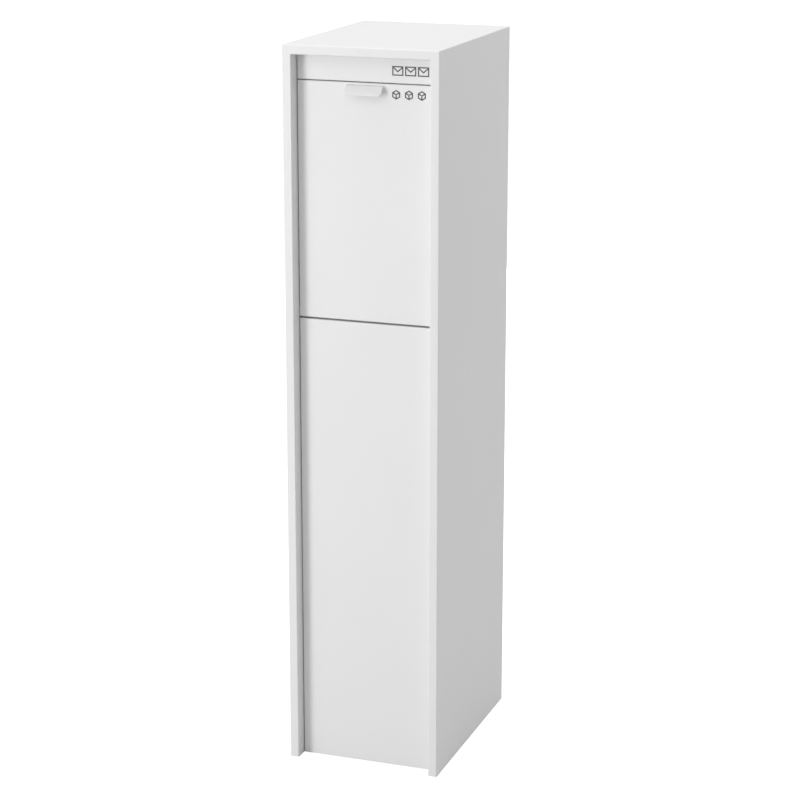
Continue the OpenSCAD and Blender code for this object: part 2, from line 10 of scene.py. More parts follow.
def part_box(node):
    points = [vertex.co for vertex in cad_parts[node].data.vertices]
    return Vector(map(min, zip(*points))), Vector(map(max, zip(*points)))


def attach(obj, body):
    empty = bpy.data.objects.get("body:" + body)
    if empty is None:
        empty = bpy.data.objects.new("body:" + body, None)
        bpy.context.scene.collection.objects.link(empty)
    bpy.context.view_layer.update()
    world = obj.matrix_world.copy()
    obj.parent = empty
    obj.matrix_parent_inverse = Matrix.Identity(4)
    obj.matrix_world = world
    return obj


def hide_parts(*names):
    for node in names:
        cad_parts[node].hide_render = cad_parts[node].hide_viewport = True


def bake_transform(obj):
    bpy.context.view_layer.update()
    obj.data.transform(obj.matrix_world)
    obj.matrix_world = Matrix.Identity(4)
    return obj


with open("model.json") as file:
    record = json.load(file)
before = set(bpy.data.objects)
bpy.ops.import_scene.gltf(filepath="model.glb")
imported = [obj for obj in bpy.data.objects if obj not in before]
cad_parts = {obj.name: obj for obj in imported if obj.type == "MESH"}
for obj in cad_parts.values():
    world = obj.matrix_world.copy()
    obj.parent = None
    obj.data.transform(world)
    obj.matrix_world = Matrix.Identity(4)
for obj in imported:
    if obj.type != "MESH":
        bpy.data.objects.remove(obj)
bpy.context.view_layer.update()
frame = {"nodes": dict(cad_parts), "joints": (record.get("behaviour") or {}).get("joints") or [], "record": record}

bl_info = {
    "name": "Parcel Drop Box",
    "version": (1, 0, 0),
    "blender": (4, 5, 0),
    "location": "3D Viewport > Sidebar > Drop Box",
    "description": "Builds the detailed pieces and finishes of a sheet steel parcel drop box",
    "category": "Object",
}

MM = 0.001
# Corners of a CAD node's mesh that are nearer than this are one
WELD = 0.002 * MM
SIDES = {
    "left": Vector((-1, 0, 0)),
    "right": Vector((1, 0, 0)),
    "front": Vector((0, -1, 0)),
    "rear": Vector((0, 1, 0)),
    "bottom": Vector((0, 0, -1)),
    "top": Vector((0, 0, 1)),
}


def joint(name):
    return next(j for j in frame["joints"] if j["name"] == name)


def hinge(name):
    """The place of a joint's axis."""
    return Vector(joint(name)["pos_m"])


# ---------------------------------------------------------------- settings


def length(name, description, millimetres):
    return FloatProperty(
        name=name, description=description, default=millimetres * MM, unit="LENGTH", min=0.0
    )


def colour(name, description, value):
    return FloatVectorProperty(
        name=name, description=description, default=value, subtype="COLOR", size=3, min=0.0, max=1.0
    )


def angle(name, description, degrees):
    return FloatProperty(
        name=name, description=description, default=math.radians(degrees), subtype="ANGLE"
    )


def power(name, description, watts):
    return FloatProperty(name=name, description=description, default=watts, unit="POWER", min=0.0)


class SheetSizes(bpy.types.PropertyGroup):
    """How the steel sheet is folded"""

    thickness: length("Thickness", "Thickness of the steel sheet", 1.5)
    bend: length("Bend radius", "Outer radius of a fold", 2.0)
    bend_steps: IntProperty(name="Bend steps", description="Facets round a fold", default=4, min=2)
    cut_edge: length("Cut edge", "Radius left on a cut edge by the coating", 0.3)
    return_depth: length("Front return", "Depth of the return behind the front edge", 38)
    return_lip: length("Return lip", "Width of the lip behind the front return", 11.5)
    rear_return: length("Rear return", "Depth of the return at the rear edge", 15)
    panel_lip: length("Panel lip", "Width of the lip folded down behind a panel's top edge", 14)
    door_lip: length("Rear door lip", "Width of the lip all round inside the rear door", 12)
    foot: length("Panel foot", "Width of the lower panel's side feet", 14)


class TabSizes(bpy.types.PropertyGroup):
    """The pull tab on the parcels door"""

    corner: length("Corner radius", "Radius of the tab's two lower corners", 7)
    bend: length("Bend", "Middle radius of the tab's folds", 1.7)
    step: length("Step", "How far the tab comes straight out before it leans down", 3.5)


class HardwareSizes(bpy.types.PropertyGroup):
    """Rivets, springs and seals"""

    chamfer: length("Chamfer", "Chamfer on turned ends", 0.4)
    wire: length("Spring wire", "Radius of the flap spring's wire", 0.5)
    coil: length("Spring coil", "Middle radius of the flap spring's coil", 3.5)
    spring_leg: length("Spring leg", "Length of the spring's leg down the flap", 24)
    turns: IntProperty(name="Spring turns", description="Turns of the flap spring", default=10, min=3)
    rivet_head: length("Rivet head", "Height of a rivet's head", 1.0)
    seal_w: length("Seal width", "Width of the rubber seal", 6)
    seal_round: length("Seal edge", "Radius of the rubber seal's edges", 1.2)
    seal_corner: length("Seal corner", "Radius of the seal's bends at the door's corners", 8)


class SignSizes(bpy.types.PropertyGroup):
    """The signs on the flap and the door"""

    stroke: length("Stroke", "Width of a sign's lines", 1.9)
    pitch: length("Pitch", "Distance from one sign to the next", 22)
    envelope: length("Envelope width", "Width of an envelope sign", 19)
    count: IntProperty(name="Signs in a row", description="Signs in each row", default=3, min=1)


class FinishSettings(bpy.types.PropertyGroup):
    """Colours and grain of the finishes"""

    coat: colour("Powder coat", "Colour of the white powder coat", (0.83, 0.83, 0.83))
    coat_shade: colour("Powder coat shade", "Its darker drift", (0.80, 0.80, 0.80))
    coat_rough: FloatProperty(
        name="Coat roughness", description="Roughness of the powder coat", default=0.46, subtype="FACTOR"
    )
    coat_grain: length("Coat grain", "Size of the powder coat's fine grain", 0.55)
    coat_peel: length("Coat peel", "Size of the powder coat's soft ripple", 2.6)
    zinc: colour("Zinc", "Colour of zinc-plated steel", (0.60, 0.61, 0.63))
    steel: colour("Steel", "Colour of bright drawn steel", (0.50, 0.505, 0.515))
    chrome: colour("Chrome", "Colour of the lock's chrome", (0.78, 0.785, 0.80))
    nylon: colour("Nylon", "Colour of natural nylon", (0.74, 0.73, 0.69))
    rubber: colour("Rubber", "Colour of black rubber", (0.018, 0.018, 0.019))
    ink: colour("Sign film", "Colour of the dark grey sign film", (0.075, 0.075, 0.08))


class StageSettings(bpy.types.PropertyGroup):
    """Floor, lights and camera"""

    floor: colour("Floor", "Colour of the floor", (0.60, 0.60, 0.60))
    floor_size: FloatProperty(
        name="Floor size", description="Side of the floor", default=60.0, unit="LENGTH"
    )
    floor_glow: FloatProperty(
        name="Floor glow", description="Lift of the floor to white in the camera's view", default=0.86
    )
    sky: FloatProperty(name="Sky", description="Strength of the surrounding light", default=0.45)
    key: power("Key light", "Power of the tall light at the left front", 70)
    front: power("Front light", "Power of the light high in front", 20)
    overhead: power("Overhead light", "Power of the light above", 35)
    side: power("Side light", "Power of the soft light at the right rear", 32)
    rear: power("Rear light", "Power of the soft light behind", 45)
    lens: FloatProperty(name="Lens", description="Focal length in millimetres", default=107.73)
    azimuth: angle("Azimuth", "Camera's turn to the right", 19.684)
    elevation: angle("Elevation", "Camera's height angle", 15.159)
    distance: FloatProperty(
        name="Distance", description="From the camera to its aim", default=3.9937, unit="LENGTH"
    )
    aim: FloatVectorProperty(
        name="Aim", description="Point that the camera looks at", default=(0.0545, -0.1595, 0.6633),
        subtype="TRANSLATION"
    )


class DropBoxSettings(bpy.types.PropertyGroup):
    """Everything a user may change"""

    sheet: PointerProperty(type=SheetSizes)
    tab: PointerProperty(type=TabSizes)
    hardware: PointerProperty(type=HardwareSizes)
    signs: PointerProperty(type=SignSizes)
    finish: PointerProperty(type=FinishSettings)
    stage: PointerProperty(type=StageSettings)


def settings():
    return bpy.context.scene.drop_box


# ---------------------------------------------------------------- node graphs


class Signal:
    """A node's output that can be used in sums: each operator adds one Math node."""

    def __init__(self, graph, socket):
        self.graph = graph
        self.socket = socket

    def _math(self, operation, first, second):
        return self.graph.node("ShaderNodeMath", {"operation": operation}, {0: first, 1: second})

    def __add__(self, other):
        return self._math("ADD", self, other)

    def __radd__(self, other):
        return self._math("ADD", other, self)

    def __sub__(self, other):
        return self._math("SUBTRACT", self, other)

    def __rsub__(self, other):
        return self._math("SUBTRACT", other, self)

    def __mul__(self, other):
        return self._math("MULTIPLY", self, other)

    def __rmul__(self, other):
        return self._math("MULTIPLY", other, self)

    def output(self, name):
        return Signal(self.graph, self.socket.node.outputs[name])


class Graph:
    """A node tree that is written as expressions."""

    def __init__(self, tree):
        self.tree = tree

    def feed(self, socket, value):
        if isinstance(value, Signal):
            self.tree.links.new(value.socket, socket)
        else:
            socket.default_value = value

    def node(self, kind, choices=None, sockets=None, output=0):
        """Adds a node: its settings first, then the values or links of its sockets."""
        made = self.tree.nodes.new(kind)
        for name, value in (choices or {}).items():
            if name == "stops":
                set_stops(made.color_ramp, value)
            else:
                setattr(made, name, value)
        for name, value in (sockets or {}).items():
            self.feed(made.inputs[name], value)
        return Signal(self, made.outputs[output]) if made.outputs else None


def set_stops(ramp, stops):
    """Gives a colour ramp its (position, grey) stops."""
    while len(ramp.elements) < len(stops):
        ramp.elements.new(1.0)
    for element, (position, grey) in zip(ramp.elements, stops):
        element.position = position
        element.color = (grey, grey, grey, 1.0)


class Finish(Graph):
    """One procedural material."""

    def __init__(self, name):
        self.material = bpy.data.materials.new(name)
        self.material.use_nodes = True
        super().__init__(self.material.node_tree)
        self.tree.nodes.clear()
        self.place = self.node("ShaderNodeTexCoord").output("Object")

    def stretched(self, scale):
        """Object coordinates scaled along each axis, for streaks."""
        return self.node("ShaderNodeMapping", sockets={"Vector": self.place, "Scale": scale})

    def noise(self, size, detail=2.0, roughness=0.5, place=None):
        """Noise from 0 to 1 whose features are about size metres wide."""
        return self.node(
            "ShaderNodeTexNoise",
            sockets={
                "Vector": place or self.place,
                "Scale": 1.0 / size,
                "Detail": detail,
                "Roughness": roughness,
            },
        )

    def ramp(self, value, *stops):
        return self.node("ShaderNodeValToRGB", {"stops": stops}, {"Fac": value})

    def between(self, share, first, second):
        """A colour between two."""
        return self.node(
            "ShaderNodeMix", {"data_type": "RGBA"}, {0: share, 6: (*first, 1), 7: (*second, 1)}, 2
        )

    def relief(self, height, depth, strength=1.0):
        return self.node(
            "ShaderNodeBump", sockets={"Height": height, "Distance": depth, "Strength": strength}
        )

    def done(self, **sockets):
        """Closes the material: varying inputs and constants go straight to the shader."""
        names = {key.replace("_", " ").title().replace("Ior", "IOR"): v for key, v in sockets.items()}
        shader = self.node("ShaderNodeBsdfPrincipled", sockets=names)
        self.node("ShaderNodeOutputMaterial", sockets={"Surface": shader})
        return self.material


# ---------------------------------------------------------------- finishes


def powder_coat():
    """White powder coat: a soft ripple, a fine grain and a slight drift of shade."""
    look, f = settings().finish, Finish("powder_coat")
    drift = f.noise(0.16, 3.0)
    ripple = f.noise(look.coat_peel, 2.0)
    grain = f.noise(look.coat_grain, 3.0, 0.6)
    specks = f.ramp(f.noise(1.1 * MM, 1.0), (0.70, 0.0), (0.78, 1.0))
    return f.done(
        base_color=f.between(drift * 0.7 + specks * 0.25, look.coat, look.coat_shade),
        roughness=look.coat_rough + (drift - 0.5) * 0.10 + (grain - 0.5) * 0.12,
        normal=f.relief(ripple * 0.55 + grain * 0.45, 0.12 * MM, 0.55),
        specular_ior_level=0.4,
    )


def zinc_plate():
    """Zinc plating: a faint spangle under a fine brushed grain."""
    look, f = settings().finish, Finish("zinc_plate")
    spangle = f.node("ShaderNodeTexVoronoi", sockets={"Vector": f.place, "Scale": 420.0}, output=1)
    shade = f.node("ShaderNodeSeparateColor", sockets={"Color": spangle})
    grain = f.noise(0.35 * MM, 3.0, 0.6)
    darker = [0.78 * c for c in look.zinc]
    return f.done(
        base_color=f.between(shade * 0.6 + grain * 0.3, look.zinc, darker),
        metallic=1.0,
        roughness=0.34 + shade * 0.10 + (grain - 0.5) * 0.12,
        normal=f.relief(grain, 0.03 * MM, 0.5),
    )


def bright_steel():
    """Drawn steel rod: fine rings of turning marks across X and a light oil film."""
    look, f = settings().finish, Finish("bright_steel")
    rings = f.noise(0.4 * MM, 2.0, place=f.stretched((1.0, 0.06, 0.06)))
    film = f.noise(9 * MM, 2.0)
    darker = [0.7 * c for c in look.steel]
    return f.done(
        base_color=f.between(film * 0.5 + rings * 0.3, look.steel, darker),
        metallic=1.0,
        roughness=0.24 + film * 0.10 + (rings - 0.5) * 0.10,
        normal=f.relief(rings, 0.02 * MM, 0.6),
    )


def lock_chrome():
    """Chrome plating with the hair scratches that a key leaves."""
    look, f = settings().finish, Finish("lock_chrome")
    hairs = f.ramp(
        f.noise(0.5 * MM, 2.0, place=f.stretched((0.10, 1.0, 1.6))), (0.60, 0.0), (0.68, 1.0)
    )
    worn = f.noise(6 * MM, 2.0)
    darker = [0.82 * c for c in look.chrome]
    return f.done(
        base_color=f.between(worn * 0.4, look.chrome, darker),
        metallic=1.0,
        roughness=0.10 + worn * 0.06 + hairs * 0.12,
        normal=f.relief(hairs, 0.01 * MM, 0.4),
    )


def natural_nylon():
    """Moulded nylon: waxy, with a faint moulding grain."""
    look, f = settings().finish, Finish("natural_nylon")
    cloud = f.noise(4 * MM, 2.0)
    grain = f.noise(0.5 * MM, 2.0)
    darker = [0.92 * c for c in look.nylon]
    return f.done(
        base_color=f.between(cloud, look.nylon, darker),
        roughness=0.42 + (grain - 0.5) * 0.14,
        normal=f.relief(grain, 0.03 * MM, 0.5),
        subsurface_weight=0.12,
        subsurface_radius=(0.002, 0.002, 0.0018),
    )


def black_rubber():
    """Moulded rubber with a dusty bloom in patches."""
    look, f = settings().finish, Finish("black_rubber")
    bloom = f.ramp(f.noise(14 * MM, 3.0), (0.45, 0.0), (0.75, 1.0))
    grain = f.noise(0.6 * MM, 3.0, 0.6)
    dusty = [c + 0.035 for c in look.rubber]
    return f.done(
        base_color=f.between(bloom * 0.8, look.rubber, dusty),
        roughness=0.66 + bloom * 0.14 + (grain - 0.5) * 0.08,
        normal=f.relief(grain, 0.06 * MM, 0.6),
    )


def sign_film():
    """Matt cut film: an even dark grey with a faint eggshell grain."""
    look, f = settings().finish, Finish("sign_film")
    drift = f.noise(5 * MM, 2.0)
    grain = f.noise(0.25 * MM, 2.0)
    lighter = [1.35 * c for c in look.ink]
    return f.done(
        base_color=f.between(drift * 0.6, look.ink, lighter),
        roughness=0.52 + (grain - 0.5) * 0.1,
        normal=f.relief(grain, 0.01 * MM, 0.5),
    )


def stage_floor():
    """Pale seamless studio floor, lifted to white where the camera sees it."""
    look, f = settings().stage, Finish("stage_floor")
    mottle = f.noise(0.5, 2.0)
    darker = [0.985 * c for c in look.floor]
    seen = f.node("ShaderNodeLightPath").output("Is Camera Ray")
    return f.done(
        base_color=f.between(mottle, look.floor, darker), roughness=0.9, specular_ior_level=0.1,
        emission_color=f.between(seen, (0, 0, 0), (1, 1, 1)), emission_strength=look.floor_glow
    )


# The maker of each finish, and the record's slot that it belongs to
FINISHES = {
    "powder_coat": (powder_coat, "painted_steel"),
    "zinc_plate": (zinc_plate, "zinc_steel"),
    "bright_steel": (bright_steel, "bright_steel"),
    "lock_chrome": (lock_chrome, "lock_chrome"),
    "natural_nylon": (natural_nylon, "nylon"),
    "black_rubber": (black_rubber, "rubber"),
    "sign_film": (sign_film, "label_ink"),
}


def finish_of(name):
    return bpy.data.materials.get(name) or FINISHES[name][0]()


# ---------------------------------------------------------------- meshes


def new_object(name, bm=None):
    """An object at the origin, from a bmesh that is used up."""
    mesh = bpy.data.meshes.new(name)
    if bm is not None:
        bm.to_mesh(mesh)
        bm.free()
    made = bpy.data.objects.new(name, mesh)
    bpy.context.scene.collection.objects.link(made)
    return made


def settle(obj):
    """Turns the modifiers' result into the object's plain mesh."""
    bpy.context.view_layer.update()
    graph = bpy.context.evaluated_depsgraph_get()
    mesh = bpy.data.meshes.new_from_object(
        obj.evaluated_get(graph), preserve_all_data_layers=True, depsgraph=graph
    )
    obj.modifiers.clear()
    obj.data = mesh
    return obj


def modifier(obj, kind, **values):
    made = obj.modifiers.new(kind.title(), kind)
    for name, value in values.items():
        setattr(made, name, value)
    return made


def shade(obj, sharp=40):
    """Smooth shading that large flat faces keep flat."""
    obj.data.shade_smooth()
    obj.data.set_sharp_from_angle(angle=math.radians(sharp))
    modifier(obj, "WEIGHTED_NORMAL", keep_sharp=True, weight=100)
    return settle(obj)


def ease(obj, width, angle=50, segments=2):
    """Rounds what is sharper than the angle."""
    modifier(
        obj, "BEVEL", width=width, segments=segments, limit_method="ANGLE",
        angle_limit=math.radians(angle), use_clamp_overlap=True
    )
    return settle(obj)


def block(name, middle, size):
    """A plain box."""
    bm = bmesh.new()
    place = Matrix.Translation(middle) @ Matrix.Diagonal((*size, 1.0))
    bmesh.ops.create_cube(bm, size=1.0, matrix=place)
    return new_object(name, bm)


def carve(obj, cutters):
    """Cuts the cutters' shapes out of the object and removes them."""
    for cutter in cutters:
        modifier(obj, "BOOLEAN", operation="DIFFERENCE", solver="EXACT", object=cutter)
    settle(obj)
    for cutter in cutters:
        bpy.data.objects.remove(cutter)
    return obj


def piece(obj, body, finish, nodes, sharp=40):
    """Finishes a piece: shading, material and body, and hides the CAD nodes that it stands for."""
    obj.data.materials.clear()
    obj.data.materials.append(finish_of(finish))
    shade(obj, sharp)
    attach(obj, body)
    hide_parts(*nodes)
    return obj


def body_of(node):
    bodies = frame["record"]["behaviour"]["bodies"]
    return next(body for body, members in bodies.items() if node in members)


def dressed(node, name, finish, width):
    """A copy of a CAD node with merged faces and eased edges."""
    bm = bmesh.new()
    bm.from_mesh(frame["nodes"][node].data)
    bmesh.ops.remove_doubles(bm, verts=bm.verts, dist=WELD)
    bmesh.ops.dissolve_limit(bm, angle_limit=math.radians(0.6), verts=bm.verts, edges=bm.edges)
    obj = ease(new_object(name, bm), width)
    return piece(obj, body_of(node), finish, [node])


def bent_path(points, radius, steps):
    """A polyline with its corners turned into arcs: (point, normal on the left) pairs."""
    points = [Vector(p) for p in points]
    path = []
    for i, point in enumerate(points):
        before = (point - points[i - 1]).normalized() if i else None
        after = (points[i + 1] - point).normalized() if i + 1 < len(points) else None
        if before is None or after is None:
            along = before or after
            path.append((point, Vector((-along.y, along.x))))
            continue
        turn = math.atan2(before.x * after.y - before.y * after.x, before.dot(after))
        reach = radius * math.tan(abs(turn) / 2)
        side = math.copysign(1.0, turn)
        start = point - before * reach
        centre = start + Vector((-before.y, before.x)) * radius * side
        for k in range(steps + 1):
            along = Matrix.Rotation(turn * k / steps, 2) @ before
            normal = Vector((-along.y, along.x))
            path.append((centre - normal * radius * side, normal))
    return path


def across(point, lateral):
    """A path in Y and Z, with X as its width."""
    return Vector((lateral, point.x, point.y))


def ribbon(path, spans, thickness, place):
    """A closed strip of sheet along a path, each station as wide as its span."""
    bm = bmesh.new()
    rows = []
    for (point, normal), (low, high) in zip(path, spans):
        corners = []
        for side, lateral in ((1, low), (1, high), (-1, high), (-1, low)):
            corners.append(bm.verts.new(place(point + normal * side * thickness / 2, lateral)))
        rows.append(corners)
    for first, second in zip(rows, rows[1:]):
        for k in range(4):
            bm.faces.new((first[k], first[(k + 1) % 4], second[(k + 1) % 4], second[k]))
    bm.faces.new(reversed(rows[0]))
    bm.faces.new(rows[-1])
    bmesh.ops.recalc_face_normals(bm, faces=bm.faces)
    return bm


def face_towards(bm, direction):
    """The largest face that looks that way."""
    facing = [f for f in bm.faces if f.normal.dot(direction) > 0.999]
    return max(facing, key=lambda f: f.calc_area())


def fold(bm, side, rim_y, moves, bend, steps):
    """Carries a flange's rear edge on by each (move, is it a fold) in turn."""
    edges = [
        e
        for e in bm.edges
        if e.is_boundary
        and e.link_faces[0].normal.dot(SIDES[side]) > 0.99
        and all(abs(v.co.y - rim_y) < 0.01 * MM for v in e.verts)
    ]
    for move, is_fold in moves:
        grown = bmesh.ops.extrude_edge_only(bm, edges=edges)["geom"]
        verts = [g for g in grown if isinstance(g, bmesh.types.BMVert)]
        bmesh.ops.translate(bm, verts=verts, vec=Vector(move))
        new = [
            g for g in grown if isinstance(g, bmesh.types.BMEdge) and all(v in verts for v in g.verts)
        ]
        if is_fold:
            bmesh.ops.bevel(
                bm, geom=edges, offset=bend, segments=steps, profile=0.5, affect="EDGES",
                clamp_overlap=False
            )
        edges = [e for e in new if e.is_valid]


def pan(name, low, high, opened, folds=(), ring_lip=0.0, trims=()):
    """A folded sheet pan between two corners: open sides, folded lips and trimmed corners."""
    sheet = settings().sheet
    bend, steps = sheet.bend, sheet.bend_steps
    bm = bmesh.new()
    size = high - low
    place = Matrix.Translation((low + high) / 2) @ Matrix.Diagonal((*size, 1.0))
    bmesh.ops.create_cube(bm, size=1.0, matrix=place)
    bm.normal_update()
    open_faces = [face_towards(bm, SIDES[side]) for side in opened]
    folded = [e for e in bm.edges if not any(f in open_faces for f in e.link_faces)]
    bmesh.ops.bevel(
        bm, geom=folded, offset=bend, segments=steps, profile=0.5, affect="EDGES", clamp_overlap=False
    )
    bm.normal_update()
    if ring_lip:
        lipped = face_towards(bm, SIDES["front"])
        bmesh.ops.inset_region(bm, faces=[lipped], thickness=ring_lip)
        gone = [lipped]
    else:
        gone = [face_towards(bm, SIDES[side]) for side in opened]
    bmesh.ops.delete(bm, geom=gone, context="FACES")
    for side, moves in folds:
        bm.normal_update()
        fold(bm, side, high.y, moves, bend, steps)
    for point, normal in trims:
        every = bm.verts[:] + bm.edges[:] + bm.faces[:]
        bmesh.ops.bisect_plane(bm, geom=every, plane_co=point, plane_no=normal, clear_outer=True)
    obj = new_object(name, bm)
    modifier(
        obj, "SOLIDIFY", thickness=sheet.thickness, offset=-1.0, use_even_offset=True,
        use_quality_normals=True
    )
    return settle(obj)


def turned_mesh(profile, closed=False, segments=40):
    """A lathe shape about Z from (radius, height) points; closed joins the ends into a ring."""
    bm = bmesh.new()
    rings = []
    for radius, height in profile:
        if radius < 1e-7:
            rings.append([bm.verts.new((0, 0, height))])
            continue
        ring = []
        for k in range(segments):
            angle = 2 * math.pi * k / segments
            ring.append(bm.verts.new((radius * math.cos(angle), radius * math.sin(angle), height)))
        rings.append(ring)
    pairs = list(zip(rings, rings[1:])) + ([(rings[-1], rings[0])] if closed else [])
    for first, second in pairs:
        for k in range(segments):
            a, b = k, (k + 1) % segments
            corners = [first[a % len(first)], first[b % len(first)]]
            corners += [second[b % len(second)], second[a % len(second)]]
            bm.faces.new(list(dict.fromkeys(corners)))
    bmesh.ops.recalc_face_normals(bm, faces=bm.faces)
    return bm


def aligned(direction, origin):
    """The matrix that lays a lathe shape's axis along a direction from a point."""
    turn = Vector(direction).to_track_quat("Z", "Y").to_matrix().to_4x4()
    return Matrix.Translation(origin) @ turn


def turned(name, profile, direction, origin, closed=False, segments=40):
    """A lathe piece in its place."""
    bm = turned_mesh(profile, closed, segments)
    bm.transform(aligned(direction, origin))
    return new_object(name, bm)


def drilled(radius, span, direction, origin):
    """A plain cylinder that cuts a hole."""
    return turned("hole", [(0, 0), (radius, 0), (radius, span), (0, span)], direction, origin)


def rod_profile(radius, span, chamfer, groove_at, groove_w):
    """A rod with chamfered ends and, near each end, a groove for its ring."""
    profile = [(0, 0), (radius - chamfer, 0), (radius, chamfer)]
    deep = radius - chamfer / 2
    for start in (groove_at, span - groove_at - groove_w):
        profile += [(radius, start), (deep, start), (deep, start + groove_w)]
        profile += [(radius, start + groove_w)]
    return profile + [(radius, span - chamfer), (radius - chamfer, span), (0, span)]


def ring_profile(inner, outer, low, high, chamfer):
    """The closed outline of a ring, with its outer corners eased."""
    return [
        (inner, low), (outer - chamfer, low), (outer, low + chamfer),
        (outer, high - chamfer), (outer - chamfer, high), (inner, high),
    ]


# ---------------------------------------------------------------- geometry node trees


class Tree(Graph):
    """A geometry node tree with named inputs."""

    def __init__(self, name, inputs):
        super().__init__(bpy.data.node_groups.new(name, "GeometryNodeTree"))
        face = self.tree.interface
        face.new_socket("Geometry", in_out="INPUT", socket_type="NodeSocketGeometry")
        face.new_socket("Geometry", in_out="OUTPUT", socket_type="NodeSocketGeometry")
        for label, kind in inputs.items():
            face.new_socket(label, in_out="INPUT", socket_type="NodeSocket" + kind)
        self.given = self.node("NodeGroupInput")

    def input(self, name):
        return self.given.output(name)

    def close(self, geometry):
        """Ends the tree: instances made real, then the material."""
        real = self.node("GeometryNodeRealizeInstances", sockets={"Geometry": geometry})
        painted = self.node(
            "GeometryNodeSetMaterial", sockets={"Geometry": real, "Material": self.input("Material")}
        )
        self.feed(self.tree.nodes.new("NodeGroupOutput").inputs[0], painted)
        return self.tree


def set_out_tree():
    """Sets a template at every vertex, turned by the vertex's own angles."""
    found = bpy.data.node_groups.get("set_out")
    if found:
        return found
    t = Tree("set_out", {"Template": "Object", "Material": "Material"})
    shape = t.node("GeometryNodeObjectInfo", sockets={"Object": t.input("Template")})
    turn = t.node("GeometryNodeInputNamedAttribute", {"data_type": "FLOAT_VECTOR"}, {"Name": "turn"})
    placed = t.node(
        "GeometryNodeInstanceOnPoints",
        sockets={
            "Points": t.input("Geometry"), "Instance": shape.output("Geometry"), "Rotation": turn
        },
    )
    return t.close(placed)


def swept_tree():
    """Draws a round-cornered bar along the base's edges."""
    found = bpy.data.node_groups.get("swept")
    if found:
        return found
    t = Tree(
        "swept", {"Width": "Float", "Height": "Float", "Rounding": "Float", "Material": "Material"}
    )
    path = t.node("GeometryNodeMeshToCurve", sockets={"Mesh": t.input("Geometry")})
    section = t.node(
        "GeometryNodeCurvePrimitiveQuadrilateral",
        sockets={"Width": t.input("Width"), "Height": t.input("Height")},
    )
    rounded = t.node(
        "GeometryNodeFilletCurve", {"mode": "POLY"},
        {"Curve": section, "Radius": t.input("Rounding"), "Count": 4},
    )
    bar = t.node(
        "GeometryNodeCurveToMesh",
        sockets={"Curve": path, "Profile Curve": rounded, "Fill Caps": True},
    )
    return t.close(bar)


def grow(obj, tree, **values):
    """Runs a tree on the object with the given inputs, and keeps the result as a plain mesh."""
    made = obj.modifiers.new(tree.name, "NODES")
    made.node_group = tree
    for item in tree.interface.items_tree:
        if item.item_type == "SOCKET" and item.in_out == "INPUT" and item.name in values:
            made[item.identifier] = values[item.name]
    obj.update_tag()
    return settle(obj)


def set_out(name, template, places, finish):
    """Copies of a template bmesh at (point, direction of its Z, or None) places, in one object."""
    source = new_object(name + "_template", template)
    base = new_object(name)
    base.data.from_pydata([place for place, _ in places], [], [])
    turns = base.data.attributes.new("turn", "FLOAT_VECTOR", "POINT")
    for entry, (_, direction) in zip(turns.data, places):
        if direction:
            entry.vector = Vector(direction).to_track_quat("Z", "Y").to_euler()
    grow(base, set_out_tree(), Template=source, Material=finish_of(finish))
    bpy.data.objects.remove(source)
    return base


def swept(name, points, closed, width, height, rounding, finish):
    """A bar along a line of points."""
    base = new_object(name)
    count = len(points)
    edges = [(i, (i + 1) % count) for i in range(count if closed else count - 1)]
    base.data.from_pydata(points, edges, [])
    return grow(
        base, swept_tree(), Width=width, Height=height, Rounding=rounding, Material=finish_of(finish)
    )


def both(x, y, z):
    """A place and its mirror image, with the axis pointing outwards."""
    return [(Vector((x, y, z)), (1, 0, 0)), (Vector((-x, y, z)), (-1, 0, 0))]


# ---------------------------------------------------------------- casing

# Radial gaps of a pressed fit and of a fit that turns
PRESS_GAP = 0.03 * MM
TURNING_GAP = 0.05 * MM

# Share of a bush's flange radius that its barrel has
BUSH_BARREL = {"flap_bushes": 4.03 / 5.5, "hopper_bushes": 6.03 / 8.0}


